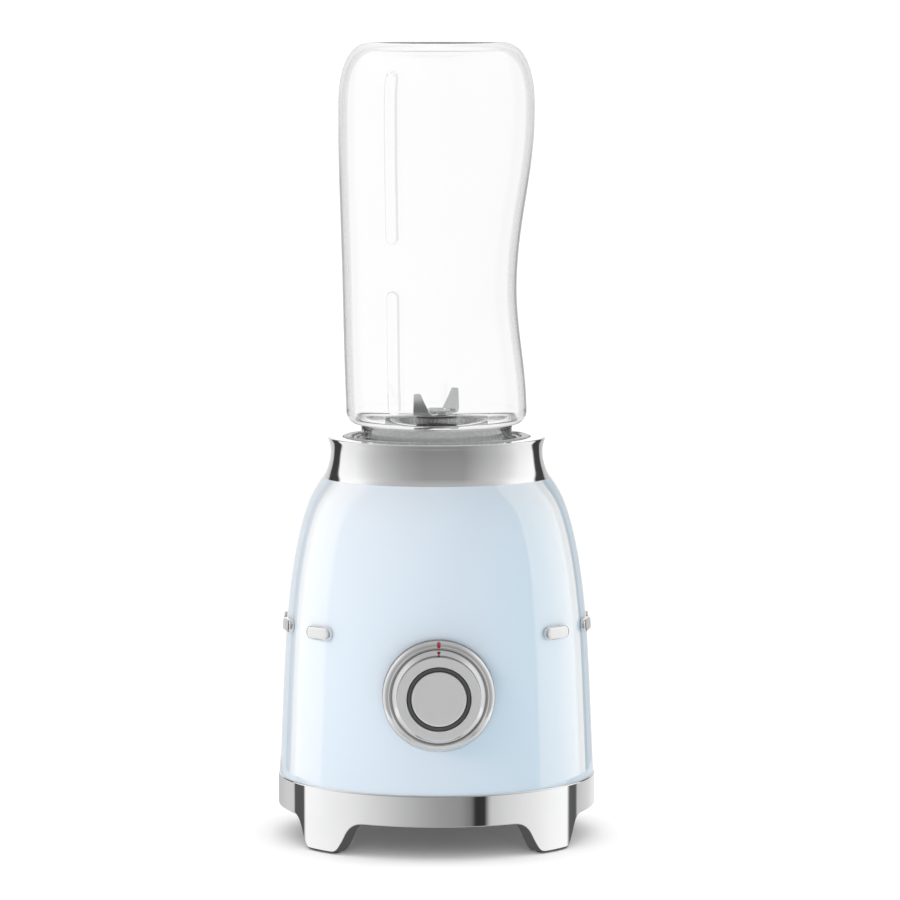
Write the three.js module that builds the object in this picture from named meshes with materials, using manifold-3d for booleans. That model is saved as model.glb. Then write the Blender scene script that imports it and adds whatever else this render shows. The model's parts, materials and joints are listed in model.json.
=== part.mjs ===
// Countertop blender with a screw-on drinking bottle, as an assembly of separate solids.
// Millimetres, +Z up, standing on Z = 0. -Y is the front, where the speed dial is.
// Every piece turns or stands about one upright axis, the motor axis.
import * as THREE from 'three';
import { mergeVertices } from 'three/addons/utils/BufferGeometryUtils.js';
import Module from 'manifold-3d';

const wasm = await Module();
wasm.setup();

// ---- driving dimensions --------------------------------------------------------------------

const GAP = 0.3;                 // between pieces that touch
const QUARTERS = [0, 90, 180, 270];

// Reach of the front dial and of the rear cord gland from the motor axis. The motor axis is set
// forward or back so that the whole object is centred on the origin.
const DIAL_REACH = 71.3;
const GLAND_REACH = 65.5;
const AXIS_Y = (DIAL_REACH - GLAND_REACH) / 2;

// Base ring. Between each two feet is an arch: [degrees from its middle, height] up its flank.
const RING_R = 63.3;
const RING_INNER_R = 56.3;
const RING_TOP = 25.6;
const RING_EDGE = 0.6;
const FOOT_BOTTOM = 0.4;
const FOOT_EDGE = 1.1;
const FOOT_ANGLES = [46.5, 133.5, 226.5, 313.5];
const FRONT_ARCH = [[38.6, -1], [38, 2.6], [36.1, 5.6], [34.3, 9.6], [32.5, 11.4], [30.4, 12.6], [27.6, 13]];
const SIDE_ARCH = [[36.2, -1], [34.4, 2.4], [33.1, 5.2], [31.5, 9], [30, 11.4], [27.6, 12.8], [24.5, 13]];
const PAD = { innerR: 57.9, outerR: 61.3, halfAngle: 5.5, top: 2.1 };

const SCREW = { headR: 3, headHeight: 1.8, headEdge: 0.8, shankR: 1.6, holeR: 1.9 };

// Bottom cover with cooling slots, and the four screws that hold it
const COVER = { bottom: 14, top: 16.4, slots: 8, slotLength: 18, slotWidth: 4, slotMiddle: 26 };
const COVER_SCREW = { circleR: 50, angles: [45, 135, 225, 315], tip: 31 };
const COVER_BOSS = { radius: 4, top: 42, webLength: 12, webWidth: 3, webHeight: 16, webMiddle: 34.5 };

// Body shell: [radius, height] of its outer line
const BODY_LINE = [
  [62.8, 25.9], [61.8, 50], [60.0, 83], [57.3, 108.5], [53.2, 127.5], [49.4, 137.8], [45.4, 144],
];
const BODY_WALL = 2.5;
const DECK_TOP = 144;
const DECK_THICKNESS = 2.8;
const DECK_HOLE_R = 12.5;
const DIAL_HOLE_R = 19.5;
const GLAND_HOLE_R = 5;

// Chrome collar and the grey seat inside it
const COLLAR_LINE = [[45, 144.3], [43.2, 148.6], [42.4, 153.2], [42.7, 156.6], [43.4, 159.2]];
const COLLAR_TOP = 159.9;
const COLLAR_TOP_R = 42.6;
const COLLAR_INNER_R = 37.4;
const SEAT_TOP = 160.7;
const SEAT_FLOOR = 147;
const SEAT_INNER_R = 33.9;
const SEAT_EDGE = 0.8;
const SEAT_LIP = { innerR: 10.6, outerR: 12.6, height: 2.4 };
const KEY_ANGLES = [20, 110, 200, 290];
const KEYWAY = { width: 6, reach: 35.9, depth: 6.4 };
const INTERLOCK = { radius: 31.7, angle: 65, pinR: 1.3, pinBottom: 138.6, pinTop: 147.3, switchZ: 132.8 };

// Motor, its plate and its fan
const PLATE = { top: 121.7, thickness: 3, outerR: 41, holeR: 12 };
const PLATE_SCREW = { circleR: 34, angles: [30, 150, 270], tip: 132 };
const PLATE_BOSS_R = 4;
const SHAFT = { radius: 4, boreR: 4.3, bottom: 43, top: 149.2 };
const CAN = { outerR: 27, innerR: 25.4, bottom: 62, topHoleR: 5 };
const END_CAP = { bottom: 54, top: 61.7, outerR: 26.8, hubR: 12.2, boreR: 10.1, flangeBottom: 57.8 };
const MAGNET = { outerR: 25.1, innerR: 21.6, halfAngle: 62, low: 71, high: 107 };
const BEARING = { outerR: 9.8, lower: [54.6, 61.2], upper: [109.5, 116.3] };
const BRUSH = { length: 9, width: 5, middleR: 13.4, z: 66 };
const ROTOR = { radius: 20.8, low: 73, high: 105, slots: 8, slotWidth: 2.4, slotDepth: 4 };
const COMMUTATOR = { radius: 8.6, low: 62.4, high: 70.4 };
const FAN = { hubR: 7, hubLow: 45, hubHigh: 53, discR: 23.4, discLow: 51.2, discHigh: 52.8, vanes: 7 };
const VANE = { length: 18, width: 1.4, height: 6, middleR: 14, z: 48.6 };

// Star coupling: the driver on the motor, and the socket under the blade unit
const STAR = { tip: 8, root: 6.2, lobes: 6, flat: 0.22, clearance: 0.6, bottom: 150, top: 158.6 };
const DRIVER_FLANGE = { radius: 9.8, bottom: 147.6, top: 150.2 };
const SOCKET = { radius: 11.5, bottom: 151.6, shoulder: 159.6, topR: 9.5, top: 161.3, roof: 159.1 };

// Blade holder, a cup that the bottle screws into
const HOLDER_R = 33.4;
const HOLDER_BOTTOM = 147.7;
const HOLDER_TOP = 159.6;
const HOLDER_EDGE = 0.6;
const HOLDER_BORE_R = 31.9;
const HOLDER_FLOOR = 152;
const HOLDER_UNDERSIDE = 149.8;
const DOME_TOP = 165.5;
const DOME_LINE = [[26.8, HOLDER_FLOOR], [26.2, 161.2], [24, 163.2], [10, DOME_TOP], [6.8, DOME_TOP]];
const DOME_UNDERSIDE = [[6.8, 161.9], [12.5, 161.9], [22.4, 160.4], [24.3, HOLDER_UNDERSIDE]];
const HOLDER_KEY = { depth: 3, width: 5, height: 6, middleR: 33.9, z: 153.5 };
const BUSH = { innerR: 3.3, outerR: 6.5, low: 161.9, high: 165.2 };
const SHAFT_SEAL_R = 8;
const NECK_SEAL = { innerR: 27.3, outerR: 30.1 };

// Blades: lines are [distance from the axis, height], leaves are [along, across]
const BLADE_SHAFT = { radius: 3, low: 159.4, top: 171.4, boreR: 3.3 };
const BLADE_THICKNESS = 1.2;
const LOWER_LINE = [[-20.5, 166.3], [-8, 168.1], [8, 168.1], [20.5, 166.3]];
const LOWER_LEAF = [
  [-20.5, -1.2], [-17.5, -3.4], [-6, -5], [6, -5], [20.5, 1.2], [17.5, 3.4], [6, 5], [-6, 5],
];
const UPPER_ANGLE = 69.5;
const WING_TOP = 178.1;
const UPPER_FLAT = 169.6;
const UPPER_SECTION = [
  [-17.4, WING_TOP], [-15, UPPER_FLAT], [15, UPPER_FLAT], [17.4, WING_TOP],
  [18.6, WING_TOP], [16.1, UPPER_FLAT - BLADE_THICKNESS],
  [-16.1, UPPER_FLAT - BLADE_THICKNESS], [-18.6, WING_TOP],
];
const WING_LEAF = [
  [-3.85, 165], [3.85, 165], [3.85, 169.4], [1.7, 173], [0.15, WING_TOP], [-2.75, WING_TOP], [-3.85, 169.4],
];
const NUT = { radius: 5.4, low: 169.9, high: 171 };

// Bottle, mouth down: round, with a waisted grip on the right and two raised ribs at the front
const MOUTH_Z = 153.7;
const NECK_TOP = 162.6;
const BOTTLE_TOP = 316.2;
const BOTTLE_WALL = 2.5;
const BOTTLE_END = 3;
const BOTTLE_END_R = 26;
const NECK_R = 30;
const NECK_INNER_R = 27.7;
const BOTTLE_LINE = [
  [31, 163.8], [34.4, 166.3], [36, 169.8], [36.9, 195], [37.7, 235], [38.9, 275], [38.9, 293],
  [37.4, 302.8], [33.6, 311.2], [28, 315.8],
];
const GRIP = { centre: 222, down: 57, up: 68, depth: 5.5, fromR: 20 };
const RIBS = [[171, 219.3], [237.5, 304.4]];
const RIB = { angle: -28, width: 5.4, height: 0.7, rootR: 35.9 };
const THREAD = { pitch: 5, start: 153.8, turns: 0.9, height: 1.4, root: 0.4, halfRoot: 1, halfCrest: 0.45 };

// Speed dial on the front, about a level axis: outlines are [radius, distance in front of the
// motor axis]
const DIAL_Z = 64.4;
const BEZEL_BORE_R = 18.4;
const BEZEL_FRONT = 63.7;
const BEZEL_OUTLINE = [
  [BEZEL_BORE_R, 50.6], [19.2, 50.6], [19.2, 55], [21.8, 55], [21.8, 62.6], [21.1, 63.4],
  [19.6, BEZEL_FRONT], [18.7, BEZEL_FRONT], [BEZEL_BORE_R, 63.3],
];
const DIAL_FRONT = 70.8;
const DIAL_OUTLINE = [
  [3.5, 51.5], [6, 51.5], [6, 57.5], [17.9, 57.5], [17.9, 64.2], [17.5, 64.7], [16.2, 65.4],
  [16.2, 70.4], [15.8, DIAL_FRONT], [12.5, DIAL_FRONT], [12.5, 60], [3.5, 60],
];
const LIGHT_RING = { innerR: 10.9, outerR: 12.2, back: 60.3, front: 70.5 };
const DIAL_SHAFT = { radius: 3.2, back: 39, front: 59.6 };
const BUTTON_OUTLINE = [
  [8.4, 65], [10.6, 65], [10.6, 70.8], [10, DIAL_REACH], [0, DIAL_REACH], [0, 69], [8.4, 69],
];
const INDEX_MARK = { length: 2.6, width: 1.9, back: BEZEL_FRONT + GAP, front: 64.5, above: 20.2 };
const DIAL_MARK = { length: 1.4, width: 1.2, back: 65.6, front: 66, above: 17.2 };
const SWITCH = { width: 24, depth: 12.2, forward: 44.2, boreR: 3.5 };
const BOARD = { width: 48, thickness: 1.6, height: 44, forward: 37 };

// Cord gland on the back: outlines are [radius, distance behind the motor axis]
const GLAND_Z = 36;
const GLAND_OUTLINE = [
  [3.4, 55], [4.6, 55], [4.6, 62.7], [8.6, 62.7], [8.6, 64.4], [7.6, GLAND_REACH], [3.4, GLAND_REACH],
];
const GLAND_NUT = { innerR: 4.9, outerR: 8, front: 55.4, back: 58.6 };

// Plain bright bars on both sides
const BAR = { z: 86, angles: [50, 77, 104], length: 14, width: 5, height: 2 };

// ---- finishes --------------------------------------------------------------------------------

const FINISH = {
  chrome: { color: 0xd4d6d8, roughness: 0.08, metalness: 1 },
  blue: { color: 0xc3dced, roughness: 0.15, metalness: 0 },
  greyPlastic: { color: 0x9a9c9e, roughness: 0.4, metalness: 0 },
  darkPlastic: { color: 0x3a3b3d, roughness: 0.5, metalness: 0 },
  rubber: { color: 0x2a2a2b, roughness: 0.8, metalness: 0 },
  silicone: { color: 0xd9dadb, roughness: 0.6, metalness: 0 },
  satin: { color: 0xb9babb, roughness: 0.35, metalness: 1 },
  steel: { color: 0xb4b6b8, roughness: 0.25, metalness: 1 },
  iron: { color: 0x6d7073, roughness: 0.55, metalness: 1 },
  magnet: { color: 0x3f4144, roughness: 0.7, metalness: 0 },
  copper: { color: 0xb8703f, roughness: 0.35, metalness: 1 },
  brass: { color: 0xb99a4b, roughness: 0.3, metalness: 1 },
  red: { color: 0xa01822, roughness: 0.35, metalness: 0 },
  board: { color: 0x2f6b43, roughness: 0.5, metalness: 0 },
  clear: { color: 0xf4f8fa, roughness: 0.03, metalness: 0, transparent: true, opacity: 0.3 },
};

// ---- geometry helpers ------------------------------------------------------------------------

const radians = THREE.MathUtils.degToRad;

function volumeOf(geometry) {
  const [a, b, c] = [new THREE.Vector3(), new THREE.Vector3(), new THREE.Vector3()];
  const { position } = geometry.attributes;
  const index = geometry.index.array;
  let volume = 0;
  for (let i = 0; i < index.length; i += 3) {
    a.fromBufferAttribute(position, index[i]);
    b.fromBufferAttribute(position, index[i + 1]);
    c.fromBufferAttribute(position, index[i + 2]);
    volume += a.dot(b.cross(c)) / 6;
  }
  return volume;
}

/** One closed surface with shared vertices, no empty triangles and its faces pointing out. */
function closed(geometry) {
  geometry.deleteAttribute('normal');
  geometry.deleteAttribute('uv');
  const merged = mergeVertices(geometry, 1e-3);
  const kept = [];
  const source = merged.index.array;
  for (let i = 0; i < source.length; i += 3) {
    const [a, b, c] = source.slice(i, i + 3);
    if (a !== b && b !== c && c !== a) kept.push(a, b, c);
  }
  merged.setIndex(kept);
  if (volumeOf(merged) < 0) merged.setIndex(kept.reverse());
  return merged;
}

function solidOf(geometry) {
  const vertProperties = new Float32Array(geometry.attributes.position.array);
  const triVerts = new Uint32Array(geometry.index.array);
  return new wasm.Manifold(new wasm.Mesh({ numProp: 3, vertProperties, triVerts }));
}

function geometryOf(solid) {
  const mesh = solid.getMesh();
  const geometry = new THREE.BufferGeometry();
  geometry.setAttribute('position', new THREE.BufferAttribute(new Float32Array(mesh.vertProperties), 3));
  geometry.setIndex(new THREE.BufferAttribute(new Uint32Array(mesh.triVerts), 1));
  return geometry;
}

function combine(operation, first, others) {
  const result = others.reduce((solid, other) => solid[operation](solidOf(other)), solidOf(first));
  return geometryOf(result);
}

const join = (first, ...others) => combine('add', first, others);
const cut = (first, ...others) => combine('subtract', first, others);
const common = (first, ...others) => combine('intersect', first, others);

/** A closed [radius, height] outline turned about the upright axis. */
function turned(outline, segments = 36) {
  const points = [...outline, outline[0]].map(([r, z]) => new THREE.Vector2(r, z));
  return closed(new THREE.LatheGeometry(points, segments).rotateX(Math.PI / 2));
}

/** The same outline turned about a level axis: its heights run from the motor axis to the front. */
function turnedToFront(outline, segments = 32) {
  return turned(outline, segments).rotateX(Math.PI / 2).translate(0, 0, DIAL_Z);
}

/** A ring of rectangular section. */
function ring(inner, outer, low, high, segments = 20) {
  return turned([[inner, low], [outer, low], [outer, high], [inner, high]], segments);
}

/** A solid round post. */
function post(radius, low, high, segments = 16) {
  return ring(0, radius, low, high, segments);
}

const shapeOf = (points) => new THREE.Shape(points.map(([x, y]) => new THREE.Vector2(x, y)));

/** A flat outline raised from one height to another. */
function prism(points, low, high, curveSegments = 4) {
  const shape = points instanceof THREE.Shape ? points : shapeOf(points);
  const options = { depth: high - low, bevelEnabled: false, curveSegments };
  return closed(new THREE.ExtrudeGeometry(shape, options).translate(0, 0, low));
}

function box(sizeX, sizeY, sizeZ) {
  return closed(new THREE.BoxGeometry(sizeX, sizeY, sizeZ));
}

/** A smooth line through [x, y] points. */
function smooth(points, divisions) {
  const curve = new THREE.SplineCurve(points.map(([x, y]) => new THREE.Vector2(x, y)));
  return curve.getPoints(divisions).map(({ x, y }) => [x, y]);
}

/** A line moved sideways to its left by a distance. */
function offsetLine(points, distance) {
  return points.map(([x, y], i) => {
    const [x0, y0] = points[Math.max(i - 1, 0)];
    const [x1, y1] = points[Math.min(i + 1, points.length - 1)];
    const length = Math.hypot(x1 - x0, y1 - y0);
    return [x - distance * (y1 - y0) / length, y + distance * (x1 - x0) / length];
  });
}

/** A rounded bar outline, its length along X. */
function barShape(length, width) {
  const straight = (length - width) / 2;
  const shape = new THREE.Shape();
  shape.absarc(straight, 0, width / 2, -Math.PI / 2, Math.PI / 2);
  shape.absarc(-straight, 0, width / 2, Math.PI / 2, Math.PI * 1.5);
  return shape;
}

/** A surface through a row of rings of points, from one pole or end to the other. */
function skinned(rings) {
  const count = rings[0].length;
  const positions = rings.flat().flatMap(({ x, y, z }) => [x, y, z]);
  const index = [];
  for (let row = 0; row < rings.length - 1; row += 1) {
    for (let i = 0; i < count; i += 1) {
      const [a, b] = [row * count + i, row * count + (i + 1) % count];
      index.push(a, b, b + count, a, b + count, a + count);
    }
  }
  const geometry = new THREE.BufferGeometry();
  geometry.setAttribute('position', new THREE.Float32BufferAttribute(positions, 3));
  geometry.setIndex(index);
  return closed(geometry);
}

/** Copy turned about the upright axis, angle 0 at the front, growing towards +X. */
const facing = (geometry, degrees) => geometry.clone().rotateZ(radians(degrees));

// ---- the model -------------------------------------------------------------------------------

const blender = new THREE.Group();
blender.position.y = AXIS_Y;

function piece(name, geometry, finish, parent = blender) {
  const mesh = new THREE.Mesh(geometry, new THREE.MeshStandardMaterial(finish));
  mesh.name = name;
  parent.add(mesh);
  return mesh;
}

/** A screw, head down: its head bears at one height and its tip reaches another. */
function screw(seat, tip) {
  const { headR, headHeight, headEdge, shankR } = SCREW;
  const low = seat - headHeight;
  return turned([
    [0, low], [headR - headEdge, low], [headR, low + headEdge], [headR, seat],
    [shankR, seat], [shankR, tip - 1], [0, tip],
  ], 8);
}

/** Places a screw at an angle on a circle about the motor axis. */
function screwPiece(name, geometry, circleR, angle) {
  const holder = new THREE.Group();
  holder.rotation.z = radians(angle);
  blender.add(holder);
  piece(name, geometry, FINISH.steel, holder).position.x = circleR;
}

/** Round posts at the angles of a set of screws. */
function postsAt({ circleR, angles }, radius, low, high) {
  return angles.map((angle) => post(radius, low, high, 8).translate(circleR, 0, 0).rotateZ(radians(angle)));
}

/** A sector of a ring, centred on +X. */
function sector(innerR, outerR, halfAngle) {
  const shape = new THREE.Shape();
  shape.absarc(0, 0, outerR, radians(-halfAngle), radians(halfAngle), false);
  shape.absarc(0, 0, innerR, radians(halfAngle), radians(-halfAngle), true);
  return shape;
}

const bodyLine = smooth(BODY_LINE, 7);

/** The outer line of the body, moved out by a gap, at one height. */
function bodyRadius(height, gap = 0) {
  const i = bodyLine.findIndex(([, z]) => z >= height);
  const [[r0, z0], [r1, z1]] = [bodyLine[i - 1], bodyLine[i]];
  return r0 + (r1 - r0) * (height - z0) / (z1 - z0) + gap;
}

/** An arch drawn unrolled and then wrapped about the upright axis, facing the front. */
function archCutter(flank) {
  const [foot, floor] = flank[0];
  const [flat, top] = flank.at(-1);
  const right = [[0, floor], [flat / 2, floor], [foot, floor], ...flank.slice(1), [flat / 2, top]];
  const left = right.slice(1).reverse().map(([x, y]) => [-x, y]);
  const geometry = prism([...right, [0, top], ...left], RING_INNER_R - 15, RING_R + 25);
  const { position } = geometry.attributes;
  for (let i = 0; i < position.count; i += 1) {
    const angle = radians(position.getX(i));
    const radius = position.getZ(i);
    position.setXYZ(i, radius * Math.sin(angle), -radius * Math.cos(angle), position.getY(i));
  }
  return closed(geometry);
}

// Base ring with an arch on each side, and a rubber pad let into each foot
function addBase() {
  const wall = turned([
    [RING_INNER_R, FOOT_BOTTOM], [RING_R - FOOT_EDGE, FOOT_BOTTOM], [RING_R, FOOT_BOTTOM + FOOT_EDGE],
    [RING_R, RING_TOP - RING_EDGE], [RING_R - RING_EDGE, RING_TOP], [RING_INNER_R, RING_TOP],
  ], 48);
  const arches = QUARTERS.map((angle, i) => facing(archCutter(i % 2 ? SIDE_ARCH : FRONT_ARCH), angle));
  const { innerR, outerR, halfAngle, top } = PAD;
  const around = THREE.MathUtils.radToDeg(GAP / innerR);
  const pocket = prism(sector(innerR - GAP, outerR + GAP, halfAngle + around), -1, top + GAP, 3);
  const pockets = FOOT_ANGLES.map((angle) => facing(pocket, angle - 90));
  piece('base_ring', cut(wall, ...arches, ...pockets), FINISH.chrome);

  FOOT_ANGLES.forEach((angle, i) => {
    const pad = prism(sector(innerR, outerR, halfAngle), 0, top, 3);
    piece(`foot_pad_${i + 1}`, pad, FINISH.rubber).rotation.z = radians(angle - 90);
  });
}

// Bottom cover, held by four screws that go up into the body's bosses
function addBottomCover() {
  const { bottom, top, slots, slotLength, slotWidth, slotMiddle } = COVER;
  const vents = Array.from({ length: slots }, (_, i) => (
    prism(barShape(slotLength, slotWidth), bottom - 1, top + 1, 3)
      .translate(slotMiddle, 0, 0).rotateZ(2 * Math.PI * i / slots)
  ));
  const holes = postsAt(COVER_SCREW, SCREW.holeR, bottom - 1, top + 1);
  const plate = post(RING_INNER_R - GAP, bottom, top, 36);
  piece('bottom_cover', cut(plate, ...vents, ...holes), FINISH.darkPlastic);
  const { circleR, angles, tip } = COVER_SCREW;
  angles.forEach((angle, i) => {
    screwPiece(`cover_screw_${i + 1}`, screw(bottom - GAP, tip), circleR, angle);
  });
}

function atInterlock(geometry) {
  return geometry.translate(INTERLOCK.radius, 0, 0).rotateZ(radians(INTERLOCK.angle));
}

// Body shell: open below, a deck on top, bosses inside, holes for the dial and for the cord gland
function addBodyShell() {
  const deckBottom = DECK_TOP - DECK_THICKNESS;
  const inside = offsetLine(bodyLine, BODY_WALL).filter(([, z]) => z < DECK_TOP - 4);
  const skin = turned([
    ...bodyLine, [DECK_HOLE_R, DECK_TOP], [DECK_HOLE_R, deckBottom], [43, deckBottom],
    ...inside.reverse().map(([r, z]) => [r, Math.max(z, bodyLine[0][1])]),
  ], 40);
  const { radius, top, webLength, webWidth, webHeight, webMiddle } = COVER_BOSS;
  const web = box(webLength, webWidth, webHeight).translate(COVER_SCREW.circleR + 5.2, 0, webMiddle);
  const boss = join(post(radius, COVER.top + GAP, top, 8).translate(COVER_SCREW.circleR, 0, 0), web);
  const coverBosses = COVER_SCREW.angles.map((angle) => facing(boss, angle));
  const coverPilots = postsAt(COVER_SCREW, SCREW.holeR, 10, COVER_SCREW.tip + 3);
  const plateBosses = postsAt(PLATE_SCREW, PLATE_BOSS_R, PLATE.top + GAP, DECK_TOP - 1);
  const platePilots = postsAt(PLATE_SCREW, SCREW.holeR, 100, PLATE_SCREW.tip + 2);
  const dialHole = turnedToFront([[0, 40], [DIAL_HOLE_R, 40], [DIAL_HOLE_R, 70], [0, 70]]);
  const glandHole = post(GLAND_HOLE_R, -70, -50, 20).rotateX(Math.PI / 2).translate(0, 0, GLAND_Z);
  const pinHole = atInterlock(post(INTERLOCK.pinR + GAP, 130, 150, 8));
  const holes = [...coverPilots, ...platePilots, dialHole, glandHole, pinHole];
  piece('body_shell', cut(join(skin, ...coverBosses, ...plateBosses), ...holes), FINISH.blue);
}

// Plain rounded bars that follow the side of the body
function addSideBars() {
  const { z, angles, length, width, height } = BAR;
  const heights = [z - width - 1, z, z + width + 1];
  const inner = heights.map((at) => [bodyRadius(at, GAP), at]);
  const outer = heights.map((at) => [bodyRadius(at, height), at]);
  const band = turned([...inner, ...outer.reverse()], 64);
  const bar = prism(barShape(length, width), 50, 70, 3).rotateX(Math.PI / 2).translate(0, 0, z);
  for (const [side, sign] of [['right', 1], ['left', -1]]) {
    angles.forEach((angle, i) => {
      piece(`side_bar_${side}_${i + 1}`, common(band, facing(bar, sign * angle)), FINISH.chrome);
    });
  }
}

// Collar, and the seat that the blade unit drops into, with four keyways
function addCollarAndSeat() {
  piece('neck_collar', turned([
    ...smooth(COLLAR_LINE, 4), [COLLAR_TOP_R + 0.5, COLLAR_TOP - 0.15], [COLLAR_TOP_R, COLLAR_TOP],
    [COLLAR_INNER_R, COLLAR_TOP], [COLLAR_INNER_R, COLLAR_LINE[0][1]],
  ], 40), FINISH.chrome);

  const outerR = COLLAR_INNER_R - GAP;
  const seatBottom = DECK_TOP + GAP;
  const lipTop = SEAT_FLOOR + SEAT_LIP.height;
  const seat = turned([
    [SEAT_LIP.innerR, seatBottom], [outerR, seatBottom], [outerR, SEAT_TOP - SEAT_EDGE],
    [outerR - SEAT_EDGE, SEAT_TOP], [SEAT_INNER_R + SEAT_EDGE, SEAT_TOP],
    [SEAT_INNER_R, SEAT_TOP - SEAT_EDGE], [SEAT_INNER_R, SEAT_FLOOR],
    [SEAT_LIP.outerR, SEAT_FLOOR], [SEAT_LIP.outerR, lipTop], [SEAT_LIP.innerR, lipTop],
  ], 36);
  const keyways = KEY_ANGLES.map((angle) => (
    box(KEYWAY.depth, KEYWAY.width, 20)
      .translate(KEYWAY.reach - KEYWAY.depth / 2, 0, SEAT_FLOOR + 11).rotateZ(radians(angle))
  ));
  const pinHole = atInterlock(post(INTERLOCK.pinR + GAP, 140, 150, 8));
  piece('seat_liner', cut(seat, ...keyways, pinHole), FINISH.greyPlastic);
}

// Motor, hung under a plate in the top of the body
function addMotor() {
  const plateBottom = PLATE.top - PLATE.thickness;
  const plate = ring(PLATE.holeR, PLATE.outerR, plateBottom, PLATE.top, 24);
  const holes = postsAt(PLATE_SCREW, SCREW.holeR, plateBottom - 1, PLATE.top + 1);
  piece('motor_plate', cut(plate, ...holes), FINISH.steel);
  const { circleR, angles, tip } = PLATE_SCREW;
  angles.forEach((angle, i) => {
    screwPiece(`plate_screw_${i + 1}`, screw(plateBottom - GAP, tip), circleR, angle);
  });

  const canTop = plateBottom - GAP;
  const canWall = CAN.outerR - CAN.innerR;
  piece('motor_can', turned([
    [CAN.innerR, CAN.bottom], [CAN.outerR, CAN.bottom], [CAN.outerR, canTop], [CAN.topHoleR, canTop],
    [CAN.topHoleR, canTop - canWall], [CAN.innerR, canTop - canWall],
  ], 24), FINISH.iron);
  for (const [name, angle] of [['right', 0], ['left', 180]]) {
    const magnet = prism(sector(MAGNET.innerR, MAGNET.outerR, MAGNET.halfAngle), MAGNET.low, MAGNET.high, 5);
    piece(`magnet_${name}`, magnet, FINISH.magnet).rotation.z = radians(angle);
  }
  piece('motor_end_cap', turned([
    [END_CAP.boreR, END_CAP.bottom], [END_CAP.hubR, END_CAP.bottom], [END_CAP.hubR, END_CAP.flangeBottom],
    [END_CAP.outerR, END_CAP.flangeBottom], [END_CAP.outerR, END_CAP.top], [END_CAP.boreR, END_CAP.top],
  ], 24), FINISH.darkPlastic);
  piece('bearing_lower', ring(SHAFT.boreR, BEARING.outerR, ...BEARING.lower), FINISH.steel);
  piece('bearing_upper', ring(SHAFT.boreR, BEARING.outerR, ...BEARING.upper), FINISH.steel);
  for (const [name, sign] of [['right', 1], ['left', -1]]) {
    const brush = box(BRUSH.length, BRUSH.width, BRUSH.width).translate(sign * BRUSH.middleR, 0, BRUSH.z);
    piece(`brush_${name}`, brush, FINISH.magnet);
  }

  const { radius, bottom, top, boreR } = SHAFT;
  piece('motor_shaft', turned([
    [0, bottom], [radius - 0.4, bottom], [radius, bottom + 0.4], [radius, top], [0, top],
  ], 16), FINISH.steel);
  const slots = Array.from({ length: ROTOR.slots }, (_, i) => (
    box(ROTOR.slotDepth, ROTOR.slotWidth, 40)
      .translate(ROTOR.radius, 0, (ROTOR.low + ROTOR.high) / 2).rotateZ(2 * Math.PI * i / ROTOR.slots)
  ));
  piece('rotor_core', cut(ring(boreR, ROTOR.radius, ROTOR.low, ROTOR.high, 24), ...slots), FINISH.iron);
  piece('commutator', ring(boreR, COMMUTATOR.radius, COMMUTATOR.low, COMMUTATOR.high, 16), FINISH.copper);
  const vanes = Array.from({ length: FAN.vanes }, (_, i) => (
    box(VANE.length, VANE.width, VANE.height)
      .translate(VANE.middleR, 0, VANE.z).rotateZ(2 * Math.PI * i / FAN.vanes)
  ));
  const hub = ring(boreR, FAN.hubR, FAN.hubLow, FAN.hubHigh, 16);
  const disc = ring(FAN.hubR - 1, FAN.discR, FAN.discLow, FAN.discHigh, 24);
  piece('cooling_fan', join(hub, disc, ...vanes), FINISH.darkPlastic);
}

/** A star outline with flattened points for the drive coupling. */
function starPoints(tip, root) {
  return Array.from({ length: STAR.lobes * 4 }, (_, i) => {
    const radius = i % 4 < 2 ? tip : root;
    const angle = (Math.floor(i / 2) + (i % 2 ? STAR.flat : -STAR.flat)) * Math.PI / STAR.lobes;
    return [radius * Math.cos(angle), radius * Math.sin(angle)];
  });
}

// Drive coupling on the motor, and the socket under the blade unit that drops over it
function addCouplings() {
  const flange = post(DRIVER_FLANGE.radius, DRIVER_FLANGE.bottom, DRIVER_FLANGE.top, 20);
  const star = prism(starPoints(STAR.tip, STAR.root), STAR.bottom, STAR.top);
  const shaftHole = post(SHAFT.boreR, DRIVER_FLANGE.bottom - 0.6, SHAFT.top + GAP);
  piece('drive_coupling', cut(join(flange, star), shaftHole), FINISH.darkPlastic);

  const cup = turned([
    [0, SOCKET.bottom], [SOCKET.radius, SOCKET.bottom], [SOCKET.radius, SOCKET.shoulder],
    [SOCKET.topR, SOCKET.top], [0, SOCKET.top],
  ], 24);
  const { tip, root, clearance } = STAR;
  const hollow = prism(starPoints(tip + clearance, root + clearance), STAR.bottom, SOCKET.roof);
  piece('driven_coupling', cut(cup, hollow, post(BLADE_SHAFT.boreR, 150, 170)), FINISH.darkPlastic);
}

/** A helical ridge about the upright axis, from a root radius to a crest radius. */
function threadRidge(rootR, crestR, lowZ) {
  const { pitch, turns, halfRoot, halfCrest } = THREAD;
  const steps = Math.round(turns * 22);
  const outline = [[rootR, -halfRoot], [crestR, -halfCrest], [crestR, halfCrest], [rootR, halfRoot]];
  const sections = Array.from({ length: steps + 1 }, (_, i) => {
    const angle = turns * 2 * Math.PI * i / steps;
    const z = lowZ + pitch * turns * i / steps;
    return outline.map(([r, dz]) => new THREE.Vector3(r * Math.cos(angle), r * Math.sin(angle), z + dz));
  });
  const middle = (section) => {
    const centre = section.reduce((sum, point) => sum.add(point), new THREE.Vector3()).divideScalar(4);
    return section.map(() => centre);
  };
  return skinned([middle(sections[0]), ...sections, middle(sections[steps])]);
}

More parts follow.
